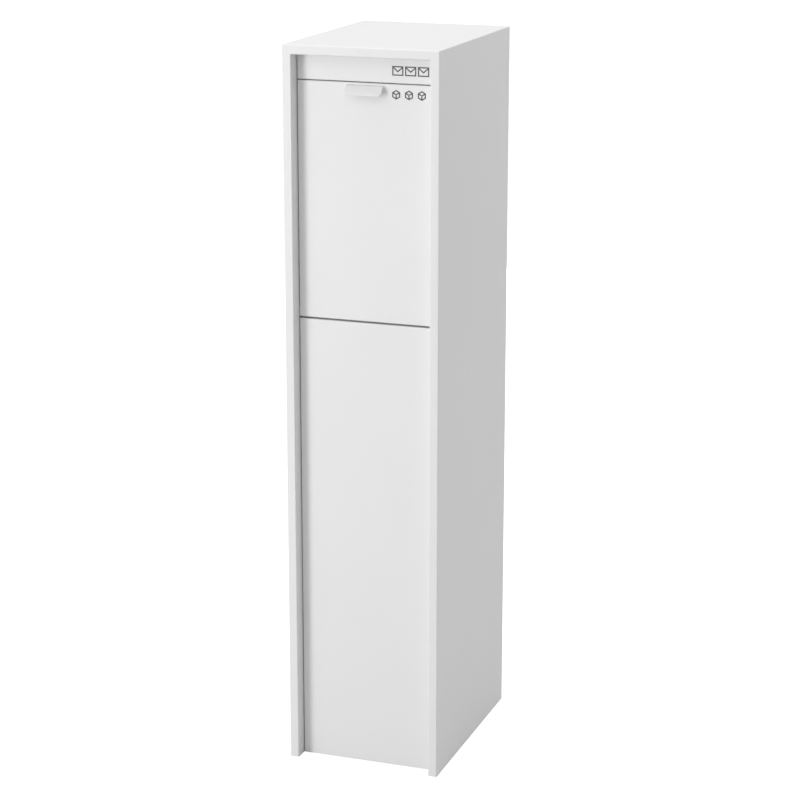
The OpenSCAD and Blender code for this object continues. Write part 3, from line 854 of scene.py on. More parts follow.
def welded_casing():
    """Sides and top as one folded and welded sheet, with boxed edges at the front and the rear."""
    sheet = settings().sheet
    low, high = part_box("side_panel_right")
    t, half_w, top = sheet.thickness, high.x, high.z
    edge = high.x - low.x
    front, rear, half_t = low.y, high.y, sheet.thickness / 2
    behind = front + sheet.return_depth - half_t
    lip_d = edge - sheet.return_lip
    return_d = edge - half_t
    outline = [
        (lip_d, behind), (return_d, behind), (return_d, front + half_t), (half_t, front + half_t),
        (half_t, rear - half_t), (return_d, rear - half_t), (return_d, rear - sheet.rear_return),
    ]
    path = bent_path(outline, sheet.bend - half_t, sheet.bend_steps)
    bm = bmesh.new()
    stations = []
    for place in (
        lambda p: Vector((p.x - half_w, p.y, 0.0)),
        lambda p: Vector((p.x - half_w, p.y, top - p.x)),
        lambda p: Vector((half_w - p.x, p.y, top - p.x)),
        lambda p: Vector((half_w - p.x, p.y, 0.0)),
    ):
        outer = [bm.verts.new(place(p + n * half_t)) for p, n in path]
        inner = [bm.verts.new(place(p - n * half_t)) for p, n in path]
        stations.append((outer, inner))
    mitres = []
    for number, ((a_out, a_in), (b_out, b_in)) in enumerate(zip(stations, stations[1:])):
        for first, second in ((a_out, b_out), (b_in, a_in)):
            for k in range(len(path) - 1):
                bm.faces.new((first[k], first[k + 1], second[k + 1], second[k]))
        for k in (0, -1):
            bm.faces.new((a_out[k], b_out[k], b_in[k], a_in[k]))
        if number:
            loop = a_out + a_in[::-1]
            mitres += [bm.edges.get((p, q)) for p, q in zip(loop, loop[1:] + loop[:1])]
    for outer, inner in (stations[0], stations[-1]):
        for k in range(len(path) - 1):
            bm.faces.new((outer[k], outer[k + 1], inner[k + 1], inner[k]))
    bmesh.ops.recalc_face_normals(bm, faces=bm.faces)
    bmesh.ops.bevel(
        bm, geom=mitres, offset=sheet.bend * 0.75, segments=3, profile=0.5, affect="EDGES",
        clamp_overlap=True
    )
    obj = new_object("welded_casing", bm)
    holes = []
    for pivot, node in (("letters_flap_hinge", "flap_bushes"), ("hopper_hinge", "hopper_bushes")):
        axis = hinge(pivot)
        barrel = (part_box(node)[1].z - axis.z) * BUSH_BARREL[node]
        for side in (-1, 1):
            start = Vector((side * (low.x - t), axis.y, axis.z))
            holes.append(drilled(barrel, 3 * t, (side, 0, 0), start))
    carve(obj, holes)
    ease(obj, sheet.cut_edge)
    return piece(obj, "casing", "powder_coat", ["side_panel_left", "side_panel_right", "top_panel"])


def lower_panel():
    """The fixed front panel: folded top lip and side feet."""
    sheet = settings().sheet
    low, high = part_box("front_lower_panel")
    half = high.x - sheet.foot
    obj = pan(
        "lower_front_panel",
        Vector((-half, low.y, low.z)),
        Vector((half, high.y, high.z)),
        ("rear", "bottom"),
        folds=[
            ("top", [((0, 0, -sheet.panel_lip), True)]),
            ("left", [((-sheet.foot, 0, 0), True)]),
            ("right", [((sheet.foot, 0, 0), True)]),
        ],
    )
    ease(obj, sheet.cut_edge)
    return piece(obj, "casing", "powder_coat", ["front_lower_panel"])


class DROPBOX_OT_casing(bpy.types.Operator):
    """Build the welded casing, the fixed panels and the sheets inside"""

    bl_idname = "dropbox.casing"
    bl_label = "Casing"

    def execute(self, context):
        edge = settings().sheet.cut_edge
        welded_casing()
        lower_panel()
        dressed("base_plate", "anchor_base", "powder_coat", edge)
        dressed("back_panel", "rear_skin", "powder_coat", edge)
        dressed("letter_slot_sill", "slot_sill", "powder_coat", edge)
        dressed("letter_chute", "letter_slide", "powder_coat", edge)
        dressed("rear_baffle", "letter_baffle", "powder_coat", edge)
        return {"FINISHED"}


# ---------------------------------------------------------------- hinges


def inner_end(node):
    """How far from the middle the right one of a mirrored pair begins."""
    return min(v.co.x for v in frame["nodes"][node].data.vertices if v.co.x > 0)


def bushes(name, node, rod_node, pivot):
    """Two flanged nylon bushes in the side returns."""
    hardware = settings().hardware
    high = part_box(node)[1]
    axis = hinge(pivot)
    bore_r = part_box(rod_node)[1].z - axis.z + TURNING_GAP
    flange_r = high.z - axis.z
    barrel_r = flange_r * BUSH_BARREL[node] - PRESS_GAP
    inner = inner_end(node)
    reach = high.x - inner
    flange_t = 0.8 * MM
    cut = hardware.chamfer / 2
    profile = [
        (bore_r, 0), (flange_r - cut, 0), (flange_r, cut), (flange_r, flange_t),
        (barrel_r, flange_t), (barrel_r, reach - 2 * cut), (barrel_r - cut, reach), (bore_r, reach),
    ]
    template = turned_mesh(profile, closed=True)
    obj = set_out(name, template, both(inner, axis.y, axis.z), "natural_nylon")
    return piece(obj, "casing", "natural_nylon", [node])


def hinge_rod(name, node, clips_node, clips_name, body, pivot):
    """A hinge rod with a groove at each end, and the push-on rings that sit in them."""
    hardware = settings().hardware
    low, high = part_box(node)
    clip_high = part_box(clips_node)[1]
    axis = hinge(pivot)
    radius = high.z - axis.z
    clip_in = inner_end(clips_node)
    clip_w = clip_high.x - clip_in
    profile = rod_profile(radius, high.x - low.x, hardware.chamfer, high.x - clip_high.x, clip_w)
    rod = turned(name, profile, (1, 0, 0), Vector((low.x, axis.y, axis.z)))
    piece(rod, body, "bright_steel", [node])
    outer = clip_high.z - axis.z
    cup = 0.35 * clip_w
    ring = [
        (radius - 0.1 * MM, 0.0), (radius + 0.5 * MM, 0.0), (outer - 0.3 * MM, cup), (outer, cup),
        (outer, clip_w), (outer - 0.5 * MM, clip_w), (radius + 0.4 * MM, clip_w - cup),
        (radius - 0.1 * MM, clip_w - cup),
    ]
    rings = set_out(
        clips_name, turned_mesh(ring, closed=True), both(clip_in, axis.y, axis.z), "zinc_plate"
    )
    return piece(rings, body, "zinc_plate", [clips_node])


# ---------------------------------------------------------------- letters flap


def flap_plate():
    """The flap: folded ears, a deep bottom flange with a down-turned lip, trimmed rear corners."""
    sheet = settings().sheet
    low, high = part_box("letters_flap")
    axis = hinge("letters_flap_hinge")
    ear_r = high.z - axis.z
    lip_drop = 3 * MM
    ear_rear = axis.y + ear_r
    bottom = low.z + lip_drop
    corner = Vector((0, 1, 1)).normalized()
    obj = pan(
        "letters_flap_plate",
        Vector((low.x, low.y, bottom)),
        Vector((high.x, ear_rear, high.z - MM)),
        ("rear", "top"),
        folds=[
            ("bottom", [((0, high.y - ear_rear, 0), False), ((0, 0, -lip_drop), True)]),
        ],
        trims=[(axis + corner * ear_r, corner)],
    )
    rod_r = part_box("flap_rod")[1].z - axis.z
    span = 2 * high.x + 4 * MM
    carve(obj, [drilled(rod_r, span, (1, 0, 0), Vector((-span / 2, axis.y, axis.z)))])
    ease(obj, sheet.cut_edge)
    return piece(obj, "letters_flap", "powder_coat", ["letters_flap"])


def flap_torsion_spring():
    """A coil on the rod with a leg down the flap and a leg hooked behind the top return."""
    hardware = settings().hardware
    low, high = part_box("flap_spring")
    axis = hinge("letters_flap_hinge")
    wire, coil, turns = hardware.wire, hardware.coil, hardware.turns
    start, end = low.x + wire, high.x - wire
    points = [Vector((start, axis.y - coil, axis.z - hardware.spring_leg))]
    per_turn = 20
    total = int((turns + 0.75) * per_turn)
    for k in range(total + 1):
        angle = math.pi - 2 * math.pi * k / per_turn
        x = start + (end - start) * k / total
        points.append(Vector((x, axis.y + coil * math.cos(angle), axis.z + coil * math.sin(angle))))
    hook_y = high.y - wire
    points.append(Vector((end, hook_y, points[-1].z)))
    points.append(Vector((end, hook_y, high.z)))
    obj = swept("flap_torsion_spring", points, False, 2 * wire, 2 * wire, 0.95 * wire, "bright_steel")
    obj.data.materials.clear()
    obj.data.materials.append(finish_of("bright_steel"))
    shade(obj, 60)
    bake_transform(obj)
    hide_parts("flap_spring")
    return obj


class DROPBOX_OT_letters_flap(bpy.types.Operator):
    """Build the letters flap with its rod, bushes, spring and stop"""

    bl_idname = "dropbox.letters_flap"
    bl_label = "Letters Flap"

    def execute(self, context):
        flap_plate()
        hinge_rod(
            "flap_hinge_rod", "flap_rod", "flap_rod_clips", "flap_rod_rings", "letters_flap",
            "letters_flap_hinge"
        )
        bushes("flap_hinge_bushes", "flap_bushes", "flap_rod", "letters_flap_hinge")
        flap_torsion_spring()
        dressed("flap_stop_strip", "flap_stop_rubber", "black_rubber", 0.5 * MM)
        return {"FINISHED"}


# ---------------------------------------------------------------- parcels hopper


def door_pan():
    """The parcels door: a pan with a folded top lip and the slot that the tab comes through."""
    sheet = settings().sheet
    low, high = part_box("parcels_door")
    tab_low, tab_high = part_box("door_handle")
    obj = pan(
        "parcels_door_pan", low, high, ("rear",),
        folds=[("top", [((0, 0, -sheet.panel_lip), True)])],
    )
    gap = 0.15 * MM
    slot_low = Vector((tab_low.x - gap, low.y - 5 * MM, tab_high.z - sheet.thickness - gap))
    slot_high = Vector((tab_high.x + gap, low.y + 5 * MM, tab_high.z + gap))
    carve(obj, [block("slot", (slot_low + slot_high) / 2, slot_high - slot_low)])
    ease(obj, sheet.cut_edge)
    return piece(obj, "hopper", "powder_coat", ["parcels_door"])


def pull_tab():
    """The folded tab: leaning lip with two round corners, the step through the door, inner flange."""
    sheet, tab = settings().sheet, settings().tab
    low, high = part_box("door_handle")
    half_t = sheet.thickness / 2
    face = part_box("parcels_door")[0].y
    crease = Vector((face - tab.step + half_t, high.z - half_t))
    outline = [
        Vector((low.y + half_t, low.z + half_t)), crease, Vector((high.y - half_t, crease.y)),
        Vector((high.y - half_t, low.z)),
    ]
    path = bent_path(outline, tab.bend, sheet.bend_steps)
    corner_steps = 6
    (start, normal), (end, end_normal) = path[0], path[-1]
    body = path[1:-1]
    along = (body[0][0] - start).normalized()
    stations, spans = [], []
    for k in range(corner_steps + 1):
        angle = math.pi / 2 * k / corner_steps
        rise = tab.corner * (1 - math.cos(angle))
        inset = tab.corner * (1 - math.sin(angle))
        stations.append((start + along * rise, normal))
        spans.append((low.x + inset, high.x - inset))
    stations += body
    spans += [(low.x, high.x)] * len(body)
    stations += [(end + Vector((0, rise)), end_normal) for rise in (tab.corner, 0.0)]
    spans += [(low.x, high.x), (low.x + tab.corner, high.x - tab.corner)]
    obj = new_object("pull_tab", ribbon(stations, spans, sheet.thickness, across))
    ease(obj, sheet.cut_edge)
    return piece(obj, "hopper", "powder_coat", ["door_handle"])


def tray_sheet():
    """The hopper's sloping tray with its upright against the door and a stiffening hem."""
    sheet = settings().sheet
    low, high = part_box("hopper_tray")
    axis = hinge("hopper_hinge")
    tilt = math.radians(joint("hopper_hinge")["range_deg"][1])
    t = sheet.thickness
    along = Vector((math.cos(tilt), -math.sin(tilt)))
    up = Vector((math.sin(tilt), math.cos(tilt)))
    centre = Vector((axis.y, axis.z))
    middle = centre + up * (6 * MM + t / 2)
    door_in = low.y + t / 2
    start = middle + along * ((door_in - middle.x) / along.x)
    tip = middle + along * (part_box("hopper_cheek_right")[1].y - axis.y - MM - t / 2)
    outline = [start + Vector((0, 14 * MM)), start, tip, tip - up * 10 * MM]
    path = bent_path(outline, sheet.bend, sheet.bend_steps)
    spans = [(low.x, high.x)] * len(path)
    obj = new_object("hopper_tray_sheet", ribbon(path, spans, t, across))
    ease(obj, sheet.cut_edge)
    return piece(obj, "hopper", "powder_coat", ["hopper_tray"])


def stop_studs():
    """Steel studs on the cheeks and the rubber sleeves on them."""
    chamfer = settings().hardware.chamfer
    low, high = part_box("hopper_stop_studs")
    sleeve_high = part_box("hopper_stop_sleeves")[1]
    middle = (low + high) / 2
    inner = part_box("hopper_cheek_right")[1].x
    head_r = high.z - middle.z
    stem_r = head_r - 1.5 * MM
    head_at = sleeve_high.x - inner
    reach = high.x - inner
    stud = [
        (0, 0), (stem_r, 0), (stem_r, head_at), (head_r, head_at), (head_r, reach - chamfer),
        (head_r - chamfer, reach), (0, reach),
    ]
    places = both(inner, middle.y, middle.z)
    studs = set_out("stop_studs", turned_mesh(stud), places, "bright_steel")
    piece(studs, "hopper", "bright_steel", ["hopper_stop_studs"])
    sleeve_r = sleeve_high.z - middle.z
    sleeve = ring_profile(stem_r, sleeve_r, 0.0, head_at, 0.8 * MM)
    sleeves = set_out("stop_sleeves", turned_mesh(sleeve, closed=True), places, "black_rubber")
    return piece(sleeves, "hopper", "black_rubber", ["hopper_stop_sleeves"])


def closing_bumpers():
    """Two rubber buttons that the door closes against."""
    low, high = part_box("door_bumpers")
    radius = (high.z - low.z) / 2
    depth = high.y - low.y
    button = [(0, depth), (radius * 0.6, depth), (radius * 0.85, depth * 0.8), (radius, depth * 0.35)]
    template = turned_mesh(button + [(radius, 0), (0, 0)])
    places = [
        (Vector((x, high.y, (low.z + high.z) / 2)), (0, -1, 0))
        for x in (low.x + radius, high.x - radius)
    ]
    obj = set_out("closing_bumpers", template, places, "black_rubber")
    return piece(obj, "casing", "black_rubber", ["door_bumpers"])


class DROPBOX_OT_parcels_hopper(bpy.types.Operator):
    """Build the parcels door, its tab, cheeks, tray, hinge rod and stops"""

    bl_idname = "dropbox.parcels_hopper"
    bl_label = "Parcels Hopper"

    def execute(self, context):
        edge = settings().sheet.cut_edge
        door_pan()
        pull_tab()
        tray_sheet()
        dressed("hopper_cheek_left", "cheek_left", "powder_coat", edge)
        dressed("hopper_cheek_right", "cheek_right", "powder_coat", edge)
        hinge_rod(
            "hopper_rod", "hopper_hinge_rod", "hopper_rod_clips", "hopper_rod_rings", "hopper",
            "hopper_hinge"
        )
        bushes("hopper_hinge_bushes", "hopper_bushes", "hopper_hinge_rod", "hopper_hinge")
        stop_studs()
        closing_bumpers()
        return {"FINISHED"}


# ---------------------------------------------------------------- rear door and lock

# How far the lock's bezel stands past its barrel
LOCK_BEZEL = 2 * MM


def collection_door():
    """The rear door: a pan with an inner lip all round and the lock's hole."""
    sheet = settings().sheet
    low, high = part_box("rear_door")
    ring_lip = sheet.door_lip - sheet.bend + sheet.thickness
    obj = pan("collection_door", low, high, (), ring_lip=ring_lip)
    barrel_low, barrel_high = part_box("lock_barrel")
    middle = (barrel_low + barrel_high) / 2
    radius = (barrel_high.x - barrel_low.x) / 2 - LOCK_BEZEL
    start = Vector((middle.x, high.y - sheet.thickness - MM, middle.z))
    carve(obj, [drilled(radius, 20 * MM, (0, 1, 0), start)])
    ease(obj, sheet.cut_edge)
    return piece(obj, "rear_door", "powder_coat", ["rear_door"])


def door_seal():
    """A rubber section round the opening, bent at the corners."""
    hardware = settings().hardware
    low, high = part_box("rear_door_seal")
    thick = high.y - low.y
    y = (low.y + high.y) / 2
    corner, steps = hardware.seal_corner, 6
    points = []
    half = hardware.seal_w / 2
    corners = [
        (high.x - half - corner, low.z + half + corner, -90),
        (high.x - half - corner, high.z - half - corner, 0),
        (low.x + half + corner, high.z - half - corner, 90),
        (low.x + half + corner, low.z + half + corner, 180),
    ]
    for x, z, first in corners:
        for k in range(steps + 1):
            angle = math.radians(first + 90 * k / steps)
            points.append(Vector((x + corner * math.cos(angle), y, z + corner * math.sin(angle))))
    points = points[-1:] + points[:-1]
    obj = swept(
        "door_seal", points, True, thick, hardware.seal_w, hardware.seal_round, "black_rubber"
    )
    return piece(obj, "rear_door", "black_rubber", ["rear_door_seal"], sharp=60)


def pivot_hardware():
    """Pins and washers of the rear door's hinges."""
    chamfer = settings().hardware.chamfer
    low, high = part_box("pivot_pins")
    washer_low, washer_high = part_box("pivot_washers")
    axis = (low + high) / 2
    head_r = (high.x - low.x) / 2
    pin_r = head_r - 1.5 * MM
    head_t = 2 * MM
    reach = high.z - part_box("rear_door")[1].z + 8 * MM
    pin = [
        (0, 0), (head_r * 0.7, 0), (head_r, head_t * 0.45), (head_r, head_t), (pin_r, head_t),
        (pin_r, reach - chamfer), (pin_r - chamfer, reach), (0, reach),
    ]
    ends = [
        (Vector((axis.x, axis.y, low.z)), (0, 0, 1)), (Vector((axis.x, axis.y, high.z)), (0, 0, -1))
    ]
    pins = set_out("pivot_pin_pair", turned_mesh(pin), ends, "bright_steel")
    piece(pins, "casing", "bright_steel", ["pivot_pins"])
    washer_r = (washer_high.x - washer_low.x) / 2
    thick = 1.4 * MM
    ring = ring_profile(pin_r + PRESS_GAP, washer_r, 0.0, thick, chamfer / 2)
    places = [
        (Vector((axis.x, axis.y, washer_low.z)), (0, 0, 1)),
        (Vector((axis.x, axis.y, washer_high.z)), (0, 0, -1)),
    ]
    washers = set_out("pivot_washer_pair", turned_mesh(ring, closed=True), places, "natural_nylon")
    return piece(washers, "casing", "natural_nylon", ["pivot_washers"])


class DROPBOX_OT_rear_door(bpy.types.Operator):
    """Build the collection door, its seal, brackets, pins and washers"""

    bl_idname = "dropbox.rear_door"
    bl_label = "Rear Door"

    def execute(self, context):
        collection_door()
        door_seal()
        dressed("pivot_bracket_upper", "upper_bracket", "zinc_plate", 0.4 * MM)
        dressed("pivot_bracket_lower", "lower_bracket", "zinc_plate", 0.4 * MM)
        pivot_hardware()
        return {"FINISHED"}


def lock_body():
    """The threaded barrel with its bezel and the bore of the plug."""
    low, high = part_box("lock_barrel")
    middle = (low + high) / 2
    bezel_r = (high.x - low.x) / 2
    barrel_r = bezel_r - LOCK_BEZEL
    plug_low, plug_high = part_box("lock_plug")
    bore_r = (plug_high.x - plug_low.x) / 2 + TURNING_GAP
    span, bezel_at = high.y - low.y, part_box("rear_door")[1].y - low.y
    pitch, deep = 1.0 * MM, 0.45 * MM
    profile = [(bore_r, 0.0)]
    at = 0.3 * MM
    while at + pitch < bezel_at - 2 * MM:
        profile += [(barrel_r - deep, at), (barrel_r, at + pitch / 2)]
        at += pitch
    profile += [
        (barrel_r - deep, at), (barrel_r, at + pitch / 2), (barrel_r, bezel_at), (bezel_r, bezel_at),
        (bezel_r, span - 1.1 * MM), (bezel_r - 0.5 * MM, span - 0.35 * MM), (bezel_r - 1.2 * MM, span),
        (bore_r + 0.8 * MM, span), (bore_r, span - 0.5 * MM),
    ]
    start = Vector((middle.x, low.y, middle.z))
    obj = turned("lock_body", profile, (0, 1, 0), start, closed=True, segments=56)
    return piece(obj, "rear_door", "lock_chrome", ["lock_barrel"], sharp=30)


def lock_core():
    """The plug with its dished face and keyway."""
    low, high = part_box("lock_plug")
    middle = (low + high) / 2
    radius, reach = (high.x - low.x) / 2, high.y - low.y
    profile = [
        (0, 0), (radius, 0), (radius, reach - 0.5 * MM), (radius - 0.5 * MM, reach),
        (radius * 0.55, reach), (radius * 0.5, reach - 0.4 * MM), (0, reach - 0.4 * MM),
    ]
    start = Vector((middle.x, low.y, middle.z))
    obj = turned("lock_core", profile, (0, 1, 0), start, segments=56)
    keyway = Vector((1.6, 6.0, 7.0)) * MM
    carve(obj, [block("keyway", Vector((middle.x, high.y, middle.z)), keyway)])
    return piece(obj, "lock_cam", "lock_chrome", ["lock_plug"], sharp=30)


def cam_screw():
    """The cross-head screw that holds the cam on the plug."""
    low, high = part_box("lock_cam_screw")
    middle = (low + high) / 2
    head_r, reach = (high.x - low.x) / 2, high.y - low.y
    head_t, shank_r = 3 * MM, 2 * MM
    profile = [
        (0, 0.0), (head_r * 0.75, 0), (head_r * 0.95, head_t * 0.3), (head_r, head_t),
        (shank_r, head_t), (shank_r, reach), (0, reach),
    ]
    start = Vector((middle.x, low.y, middle.z))
    obj = turned("cam_screw", profile, (0, 1, 0), start)
    arms = (Vector((1.0, 2.6, 4.6)) * MM, Vector((4.6, 2.6, 1.0)) * MM)
    carve(obj, [block("cross", start, arm) for arm in arms])
    return piece(obj, "lock_cam", "bright_steel", ["lock_cam_screw"], sharp=30)


class DROPBOX_OT_cam_lock(bpy.types.Operator):
    """Build the cam lock of the rear door"""

    bl_idname = "dropbox.cam_lock"
    bl_label = "Cam Lock"

    def execute(self, context):
        lock_body()
        lock_core()
        dressed("lock_nut", "lock_hex_nut", "zinc_plate", 0.5 * MM)
        dressed("lock_cam", "lock_cam_plate", "zinc_plate", 0.35 * MM)
        cam_screw()
        return {"FINISHED"}


# ---------------------------------------------------------------- rivets and signs


def rivet_mesh(radius, head_r, head_t, grip):
    """A blind rivet along Z: domed head with the mandrel's dimple, shank and swollen tail."""
    dome = []
    steps = 6
    for k in range(steps + 1):
        angle = math.pi / 2 * k / steps
        dome.append((
            head_r * (0.32 + 0.68 * math.sin(angle)), -head_t * (0.12 + 0.88 * math.cos(angle))
        ))
    profile = [(0, -head_t * 0.45), (head_r * 0.24, -head_t * 0.45), (head_r * 0.28, -head_t * 0.95)]
    profile += dome + [(head_r, 0), (radius, 0), (radius, grip), (radius * 1.55, grip + 0.1 * MM)]
    profile += [(radius * 1.6, grip + head_t * 0.6), (radius * 1.2, grip + head_t), (0, grip + head_t)]
    return turned_mesh(profile, segments=28)


def solid_places(node):
    """The middle of each separate solid of a CAD node."""
    bm = bmesh.new()
    bm.from_mesh(frame["nodes"][node].data)
    bmesh.ops.remove_doubles(bm, verts=bm.verts, dist=WELD)
    left, found = set(bm.verts), []
    while left:
        group, edge = [], [next(iter(left))]
        left.discard(edge[0])
        while edge:
            vert = edge.pop()
            group.append(vert.co.copy())
            for link in vert.link_edges:
                other = link.other_vert(vert)
                if other in left:
                    left.discard(other)
                    edge.append(other)
        low = Vector(min(c[i] for c in group) for i in range(3))
        high = Vector(max(c[i] for c in group) for i in range(3))
        found.append((low, high))
    bm.free()
    return sorted(found, key=lambda pair: tuple(round(c, 5) for c in pair[0]))


def merged(name, parts):
    """Several objects' meshes in one object."""
    bm = bmesh.new()
    for part in parts:
        bm.from_mesh(part.data)
        bpy.data.objects.remove(part)
    return new_object(name, bm)


def rivets(name, node, body):
    """The rivets of a CAD node, in their places."""
    head_t = settings().hardware.rivet_head
    made = []
    for low, high in solid_places(node):
        head_r = (high.x - low.x) / 2
        grip = high.y - low.y - 2 * head_t
        made.append((round(head_r, 5), round(grip, 5), (low + high) / 2, low.y + head_t))
    parts = []
    for head_r, grip in sorted({(m[0], m[1]) for m in made}):
        places = [
            (Vector((c.x, y, c.z)), (0, 1, 0)) for r, g, c, y in made if (r, g) == (head_r, grip)
        ]
        template = rivet_mesh(head_r * 0.55, head_r, head_t, grip)
        parts.append(set_out(name + "_part", template, places, "zinc_plate"))
    obj = merged(name, parts)
    return piece(obj, body, "zinc_plate", [node], sharp=50)


def tab_rivets():
    """Rivets of the tab: flush outside, domed inside."""
    places, thick = [], settings().sheet.thickness
    for low, high in solid_places("handle_rivets"):
        places.append((Vector(((low.x + high.x) / 2, high.y, (low.z + high.z) / 2)), (0, -1, 0)))
        head_r, reach = (high.x - low.x) / 2, high.y - low.y
    head_t = reach - 2 * thick
    profile = [
        (0, 0), (head_r * 0.3, 0), (head_r * 0.7, head_t * 0.2), (head_r, head_t * 0.8),
        (head_r, head_t), (head_r / 2, head_t), (head_r / 2, reach - 0.05 * MM),
        (0, reach - 0.05 * MM),
    ]
    obj = set_out("pull_tab_rivets", turned_mesh(profile, segments=28), places, "zinc_plate")
    return piece(obj, "hopper", "zinc_plate", ["handle_rivets"], sharp=50)


class DROPBOX_OT_rivets(bpy.types.Operator):
    """Set the rivets of the lower panel, the tab and the brackets"""

    bl_idname = "dropbox.rivets"
    bl_label = "Rivets"

    def execute(self, context):
        rivets("lower_panel_rivets", "panel_rivets", "casing")
        rivets("hinge_bracket_rivets", "bracket_rivets", "casing")
        tab_rivets()
        return {"FINISHED"}


def stroke_mesh(lines, width, thick):
    """Flat lines of even width, mitred where they turn, as closed solids in X and Z."""
    bm = bmesh.new()
    for points, closed in lines:
        points = [Vector(p) for p in points]
        count = len(points)
        rows = []
        for i, point in enumerate(points):
            before = points[i - 1] if i or closed else None
            after = points[(i + 1) % count] if i + 1 < count or closed else None
            a = (point - before).normalized() if before is not None else None
            b = (after - point).normalized() if after is not None else None
            along = (a + b).normalized() if a is not None and b is not None else (a or b)
            side = Vector((-along.y, along.x))
            reach = width / 2
            if a is not None and b is not None:
                reach /= max(0.3, side.dot(Vector((-a.y, a.x))))
            row = []
            for sign, depth in ((1, 0.0), (1, -thick), (-1, -thick), (-1, 0.0)):
                flat = point + side * reach * sign
                row.append(bm.verts.new((flat.x, depth, flat.y)))
            rows.append(row)
        pairs = list(zip(rows, rows[1:])) + ([(rows[-1], rows[0])] if closed else [])
        for first, second in pairs:
            for k in range(4):
                bm.faces.new((first[k], first[(k + 1) % 4], second[(k + 1) % 4], second[k]))
        if not closed:
            bm.faces.new(rows[0])
            bm.faces.new(rows[-1])
    bmesh.ops.recalc_face_normals(bm, faces=bm.faces)
    return bm


def sign_row(name, node, body, lines):
    """A row of signs on a CAD label's place, counted from its right end."""
    signs = settings().signs
    low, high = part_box(node)
    last = high.x - signs.envelope / 2
    places = [
        (Vector((last - i * signs.pitch, high.y, (low.z + high.z) / 2)), None)
        for i in range(signs.count)
    ]
    template = stroke_mesh(lines, signs.stroke, high.y - low.y)
    obj = set_out(name, template, places, "sign_film")
    return piece(obj, body, "sign_film", [node])


def envelope_lines(wide, tall, stroke):
    """A closed envelope: its outline and the fold of its flap."""
    x, z = (wide - stroke) / 2, (tall - stroke) / 2
    gap = stroke * 0.5
    return [
        ([(-x, -z), (x, -z), (x, z), (-x, z)], True),
        ([(-x + gap, z - gap * 1.5), (0, -tall * 0.08), (x - gap, z - gap * 1.5)], False),
    ]


def parcel_lines(tall, stroke):
    """A box seen from one corner: a hexagon and the three edges that meet in its middle."""
    radius = (tall - stroke) / 2
    rim = []
    for k in range(6):
        angle = math.radians(60 * k + 30)
        rim.append((radius * math.cos(angle), radius * math.sin(angle)))
    lines = [(rim, True)]
    for k in range(3):
        angle = math.radians(120 * k + 30)
        end = radius - stroke * 0.5
        start = stroke * 0.29
        unit = (math.cos(angle), math.sin(angle))
        lines.append(([(start * unit[0], start * unit[1]), (end * unit[0], end * unit[1])], False))
    return lines


class DROPBOX_OT_signs(bpy.types.Operator):
    """Lay the row of envelopes on the flap and the row of parcels on the door"""

    bl_idname = "dropbox.signs"
    bl_label = "Signs"

    def execute(self, context):
        signs = settings().signs
        low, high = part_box("letters_label")
        tall = high.z - low.z
        lines = envelope_lines(signs.envelope, tall, signs.stroke)
        sign_row("letters_sign", "letters_label", "letters_flap", lines)
        sign_row("parcels_sign", "parcels_label", "hopper", parcel_lines(tall, signs.stroke))
        return {"FINISHED"}


# ---------------------------------------------------------------- stage


def area_light(name, place, aim, size, watts):
    """A soft rectangular light that looks at a point."""
    data = bpy.data.lights.new(name, "AREA")
    data.shape = "RECTANGLE"
    data.size, data.size_y = size
    data.energy = watts
    lamp = bpy.data.objects.new(name, data)
    lamp.location = place
    lamp.rotation_euler = (Vector(aim) - Vector(place)).to_track_quat("-Z", "Y").to_euler()
    bpy.context.scene.collection.objects.link(lamp)
    return lamp


def studio_sky(strength):
    """Even light from all round, with a white backdrop behind what the camera sees."""
    world = bpy.data.worlds.new("studio")
    bpy.context.scene.world = world
    world.use_nodes = True
    graph = Graph(world.node_tree)
    world.node_tree.nodes.clear()
    seen = graph.node("ShaderNodeLightPath").output("Is Camera Ray")
    glow = graph.node(
        "ShaderNodeBackground",
        sockets={"Color": (1, 1, 1, 1), "Strength": seen * (1.0 - strength) + strength}
    )
    graph.node("ShaderNodeOutputWorld", sockets={"Surface": glow})


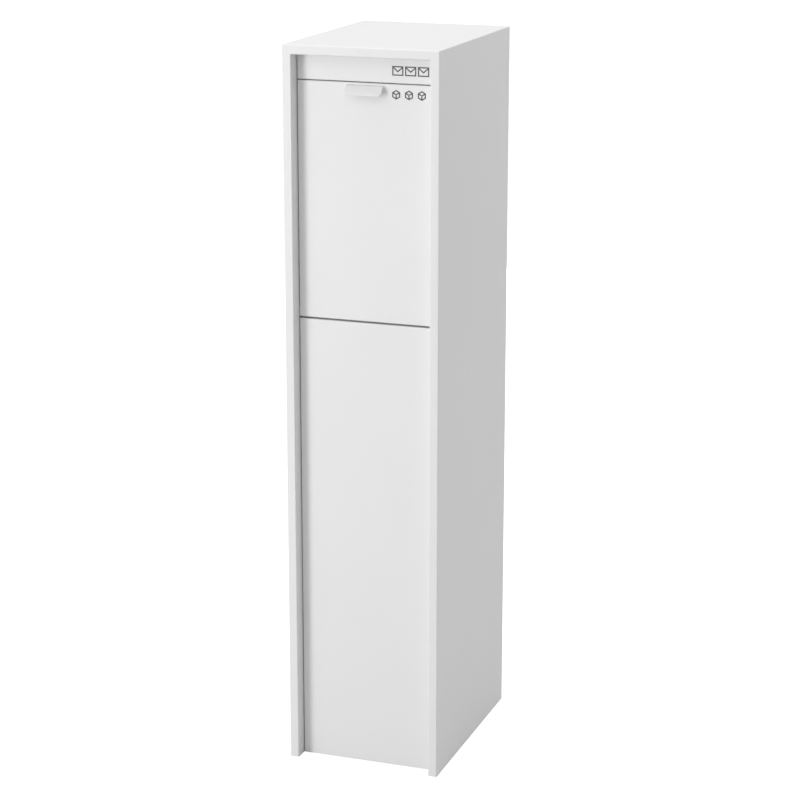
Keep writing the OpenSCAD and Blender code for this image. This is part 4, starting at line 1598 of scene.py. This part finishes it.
class DROPBOX_OT_stage(bpy.types.Operator):
    """Set up the floor, the studio lights and the camera"""

    bl_idname = "dropbox.stage"
    bl_label = "Stage"

    def execute(self, context):
        stage = settings().stage
        bm = bmesh.new()
        bmesh.ops.create_grid(bm, x_segments=2, y_segments=2, size=stage.floor_size / 2)
        bm.transform(Matrix.Translation((0, 0, -0.2 * MM)))
        floor = new_object("studio_floor", bm)
        floor.data.materials.append(stage_floor())
        studio_sky(stage.sky)
        area_light("key", (-2.2, -3.2, 0.85), (0, 0, 0.6), (1.2, 2.2), stage.key)
        area_light("front", (-1.0, -2.2, 3.0), (0, 0, 0.9), (3.2, 1.8), stage.front)
        area_light("overhead", (0.0, 0.3, 3.3), (0, 0.1, 1.0), (2.4, 2.2), stage.overhead)
        area_light("side", (3.6, 1.6, 1.6), (0, 0, 0.7), (2.0, 2.4), stage.side)
        area_light("rear", (-0.8, 4.0, 0.65), (0, 0, 0.6), (2.4, 1.1), stage.rear)
        data = bpy.data.cameras.new("camera")
        data.lens = stage.lens
        data.sensor_width = 36.0
        camera = bpy.data.objects.new("camera", data)
        a, e = stage.azimuth, stage.elevation
        back = Vector((math.sin(a) * math.cos(e), -math.cos(a) * math.cos(e), math.sin(e)))
        camera.location = Vector(stage.aim) + back * stage.distance
        camera.rotation_euler = (-back).to_track_quat("-Z", "Y").to_euler()
        context.scene.collection.objects.link(camera)
        context.scene.camera = camera
        context.scene.view_settings.view_transform = "Standard"
        return {"FINISHED"}


# ---------------------------------------------------------------- add-on


PIECES = (
    DROPBOX_OT_stage,
    DROPBOX_OT_casing,
    DROPBOX_OT_letters_flap,
    DROPBOX_OT_parcels_hopper,
    DROPBOX_OT_rear_door,
    DROPBOX_OT_cam_lock,
    DROPBOX_OT_rivets,
    DROPBOX_OT_signs,
)
GROUPS = (
    SheetSizes, TabSizes, HardwareSizes, SignSizes, FinishSettings, StageSettings, DropBoxSettings
)


class DROPBOX_PT_sidebar(bpy.types.Panel):
    """Lists the steps that build the box"""

    bl_idname = "DROPBOX_PT_sidebar"
    bl_label = "Drop Box"
    bl_space_type = "VIEW_3D"
    bl_region_type = "UI"
    bl_category = "Drop Box"

    def draw(self, context):
        for step in PIECES:
            self.layout.operator(step.bl_idname)


def register():
    for cls in (*GROUPS, *PIECES, DROPBOX_PT_sidebar):
        bpy.utils.register_class(cls)
    bpy.types.Scene.drop_box = PointerProperty(type=DropBoxSettings)


def unregister():
    del bpy.types.Scene.drop_box
    for cls in reversed((*GROUPS, *PIECES, DROPBOX_PT_sidebar)):
        bpy.utils.unregister_class(cls)


def main():
    register()
    bpy.ops.dropbox.stage()
    bpy.ops.dropbox.casing()
    bpy.ops.dropbox.letters_flap()
    bpy.ops.dropbox.parcels_hopper()
    bpy.ops.dropbox.rear_door()
    bpy.ops.dropbox.cam_lock()
    bpy.ops.dropbox.rivets()
    bpy.ops.dropbox.signs()


if __name__ == "__main__":
    main()
